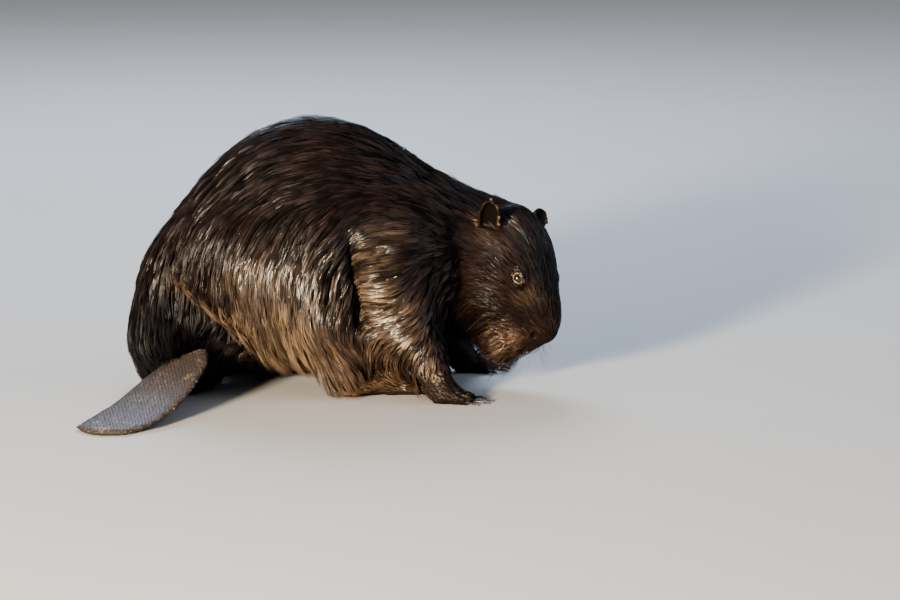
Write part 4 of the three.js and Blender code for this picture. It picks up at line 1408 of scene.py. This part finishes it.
def skin_material():
    """Under the locks dark wet underfur; on hands, nose, lids and paddle bare skin."""
    material, nodes, shader = new_material("skin")
    place = nodes.place()
    bare, lid, paddle = (nodes.given(name) for name in ("bare", "lid", "paddle"))
    colour = nodes.mix(0.6, nodes.given("coat_colour_and_painted_light", "Vector"), (0.006, 0.004, 0.003, 1))
    for share, dark, light in (
            (bare, (0.006, 0.004, 0.0035), (0.020, 0.0135, 0.0105)),
            (lid, (0.32, 0.22, 0.145), (0.48, 0.35, 0.24)),
            (paddle, (0.030, 0.024, 0.022), (0.066, 0.052, 0.044))):
        mottle = nodes.speckled(place, 220.0, dark, light, smooth=0.62, rough=0.38, detail=4.0)
        colour = nodes.mix(share, colour, mottle["Colour"])
    smooth = nodes.math("MAXIMUM", nodes.math("MAXIMUM", bare, lid), paddle)
    gloss = nodes.math("MULTIPLY", smooth, mottle["Roughness"])
    wrinkles = nodes.ramp(nodes.cells(place, 420.0, "DISTANCE_TO_EDGE")["Distance"], 0.0, 0.12)
    relief = nodes.math("ADD", nodes.math("MULTIPLY", wrinkles, bare),
                        nodes.math("MULTIPLY", mottle["Speckle"], 0.6))
    nodes.feed(shader, {
        "Base Color": colour,
        "Roughness": nodes.math("SUBTRACT", 0.97, gloss),
        "Normal": nodes.bumped(relief, 0.5, 0.0006),
        "IOR": 1.2})
    return material


def scale_material():
    """Grey-brown horny plates, some of them tan."""
    material, nodes, shader = new_material("tail_scale")
    place = nodes.place()
    tan = nodes.math("MULTIPLY", nodes.ramp(nodes.cells(place, 210.0)["Color"], 0.55, 0.8),
                     nodes.ramp(nodes.speckled(place, 30.0)["Speckle"], 0.42, 0.66))
    grey = nodes.speckled(place, 90.0, (0.034, 0.027, 0.025), (0.078, 0.061, 0.053))
    grain = nodes.speckled(place, 900.0, smooth=0.38, rough=0.6)
    nodes.feed(shader, {
        "Base Color": nodes.mix(tan, grey["Colour"], (0.21, 0.15, 0.09, 1)),
        "Roughness": grain["Roughness"],
        "Normal": nodes.bumped(grain["Speckle"], 0.35, 0.0004)})
    return material


def horn_material():
    """Dark horn with its grain along the claw."""
    material, nodes, shader = new_material("claw_horn")
    drawn_out = nodes.add("ShaderNodeMapping", {0: nodes.place(), 3: (0.25, 1, 1)}).outputs[0]
    grain = nodes.speckled(drawn_out, 900.0, (0.020, 0.014, 0.011), (0.045, 0.032, 0.025),
                           0.25, 0.45)
    nodes.feed(shader, {"Base Color": grain["Colour"], "Roughness": grain["Roughness"]})
    return material


def bristle_material():
    """Bristles, dark at the root and pale at the tip."""
    material, nodes, shader = new_material("bristle")
    colour = nodes.mix(nodes.given("along"), (0.025, 0.018, 0.012, 1), (0.22, 0.17, 0.12, 1))
    nodes.feed(shader, {"Base Color": colour, "Roughness": 0.35})
    return material


def eye_material(name, side, centre):
    """A dark brown iris round a black pupil, under a wet clear surface."""
    material, nodes, shader = new_material(f"eye_{name}")
    place = nodes.place()
    front = (centre + eye_outward(side) * EYE_RADIUS) * MM
    gap = nodes.add("ShaderNodeVectorMath", {0: place, 1: tuple(front)},
                    operation="DISTANCE").outputs["Value"]
    iris = nodes.speckled(place, 900.0, (0.008, 0.004, 0.002), (0.028, 0.013, 0.006))["Colour"]
    ringed = nodes.mix(nodes.ramp(gap, 0.0017, 0.0023), (0.001, 0.001, 0.001, 1), iris)
    colour = nodes.mix(nodes.ramp(gap, 0.0048, 0.0056), ringed, (0.045, 0.030, 0.024, 1))
    nodes.feed(shader, {"Base Color": colour, "Roughness": 0.08, "Coat Weight": 1.0,
                        "Coat Roughness": 0.03})
    return material


def mark_skin(skin, labels):
    """Where the skin is bare, where it is an eyelid and where it is the paddle."""
    mesh = skin.data
    points = read_points(mesh)
    edges = read_edges(mesh)
    local = to_head(points)
    lid = np.zeros(len(points))
    corner = head_direction(EYE_CORNER_WAY) * 2.2
    for _, _, centre in eye_places():
        away = np.minimum(distances(points, centre), distances(points, centre + corner))
        lid = np.maximum(lid, 1 - smoothstep(8.8, 10.4, away))
    bare = is_part(labels, *HANDS).astype(float)
    pad = smoothstep(84, 88, local[:, 0]) * bump(0, 20, local[:, 1]) * bump(-8, 18, local[:, 2])
    bare = np.maximum(relax(bare, edges, 0.5, 4), np.clip(pad, 0, 0.5))
    paddle = relax(is_part(labels, "tail_paddle").astype(float), edges, 0.5, 2)
    for name, values in (("lid", lid), ("bare", bare), ("paddle", paddle)):
        write_values(mesh, name, values)


# ---------------------------------------------------------------- the studio
VIEW_HEIGHT = 10  # degrees, the camera above the animal's level
VIEW_DISTANCE = 6.0
VIEW_WIDTH = 1.215  # metres across the frame at the animal
VIEW_CENTRE = Vector((0.1659, 0.1036, 0.116))
SENSOR = 36  # mm


def aim(piece, target):
    piece.rotation_euler = (target - piece.location).to_track_quat("-Z", "Y").to_euler()


def build_camera():
    camera = bpy.data.cameras.new("camera")
    camera.sensor_width = SENSOR
    camera.lens = SENSOR * VIEW_DISTANCE / VIEW_WIDTH
    camera.clip_end = 100
    piece = new_object("camera", camera)
    angle = math.radians(VIEW_HEIGHT)
    back = Vector((0, -math.cos(angle), math.sin(angle)))
    piece.location = VIEW_CENTRE + back * VIEW_DISTANCE
    aim(piece, VIEW_CENTRE)
    bpy.context.scene.camera = piece


def add_light(name, place, size, power, colour):
    light = bpy.data.lights.new(name, "AREA")
    light.size = size
    light.energy = power
    light.color = colour
    piece = new_object(name, light)
    piece.location = place
    aim(piece, Vector((0, 0.1, 0.15)))


def build_studio():
    floor = bmesh.new()
    bmesh.ops.create_grid(floor, x_segments=1, y_segments=1, size=12)
    mesh = made_mesh(floor, "floor")
    material, nodes, shader = new_material("floor")
    cloud = nodes.speckled(nodes.place(), 3.0, (0.60, 0.59, 0.57), (0.64, 0.63, 0.61))
    nodes.feed(shader, {"Base Color": cloud["Colour"], "Roughness": 0.7})
    new_object("floor", mesh, material)
    world = bpy.data.worlds.new("studio")
    bpy.context.scene.world = world
    world.use_nodes = True
    background = world.node_tree.nodes["Background"]
    background.inputs["Color"].default_value = (0.80, 0.88, 1.0, 1)
    background.inputs["Strength"].default_value = 0.30
    add_light("key", (-2.2, -4.8, 1.1), 0.7, 950, (1.0, 0.84, 0.64))
    add_light("fill", (3.2, -0.6, 2.2), 2.0, 30, (0.70, 0.82, 1.0))
    add_light("back", (-0.4, 3.0, 2.6), 1.8, 90, (0.66, 0.79, 1.0))
    view = bpy.context.scene.view_settings
    view.view_transform = "AgX"
    view.look = "AgX - Medium High Contrast"


build_camera()
build_studio()
skin, labels, depth = build_skin(skin_material())
mark_skin(skin, labels)
coat = Coat(skin, labels, depth, unwrap(skin))
build_coat(coat, lock_material())
build_eyes(eye_material)
build_claws(horn_material())
build_whiskers(coat, bristle_material())
build_tail_scales(coat, scale_material())
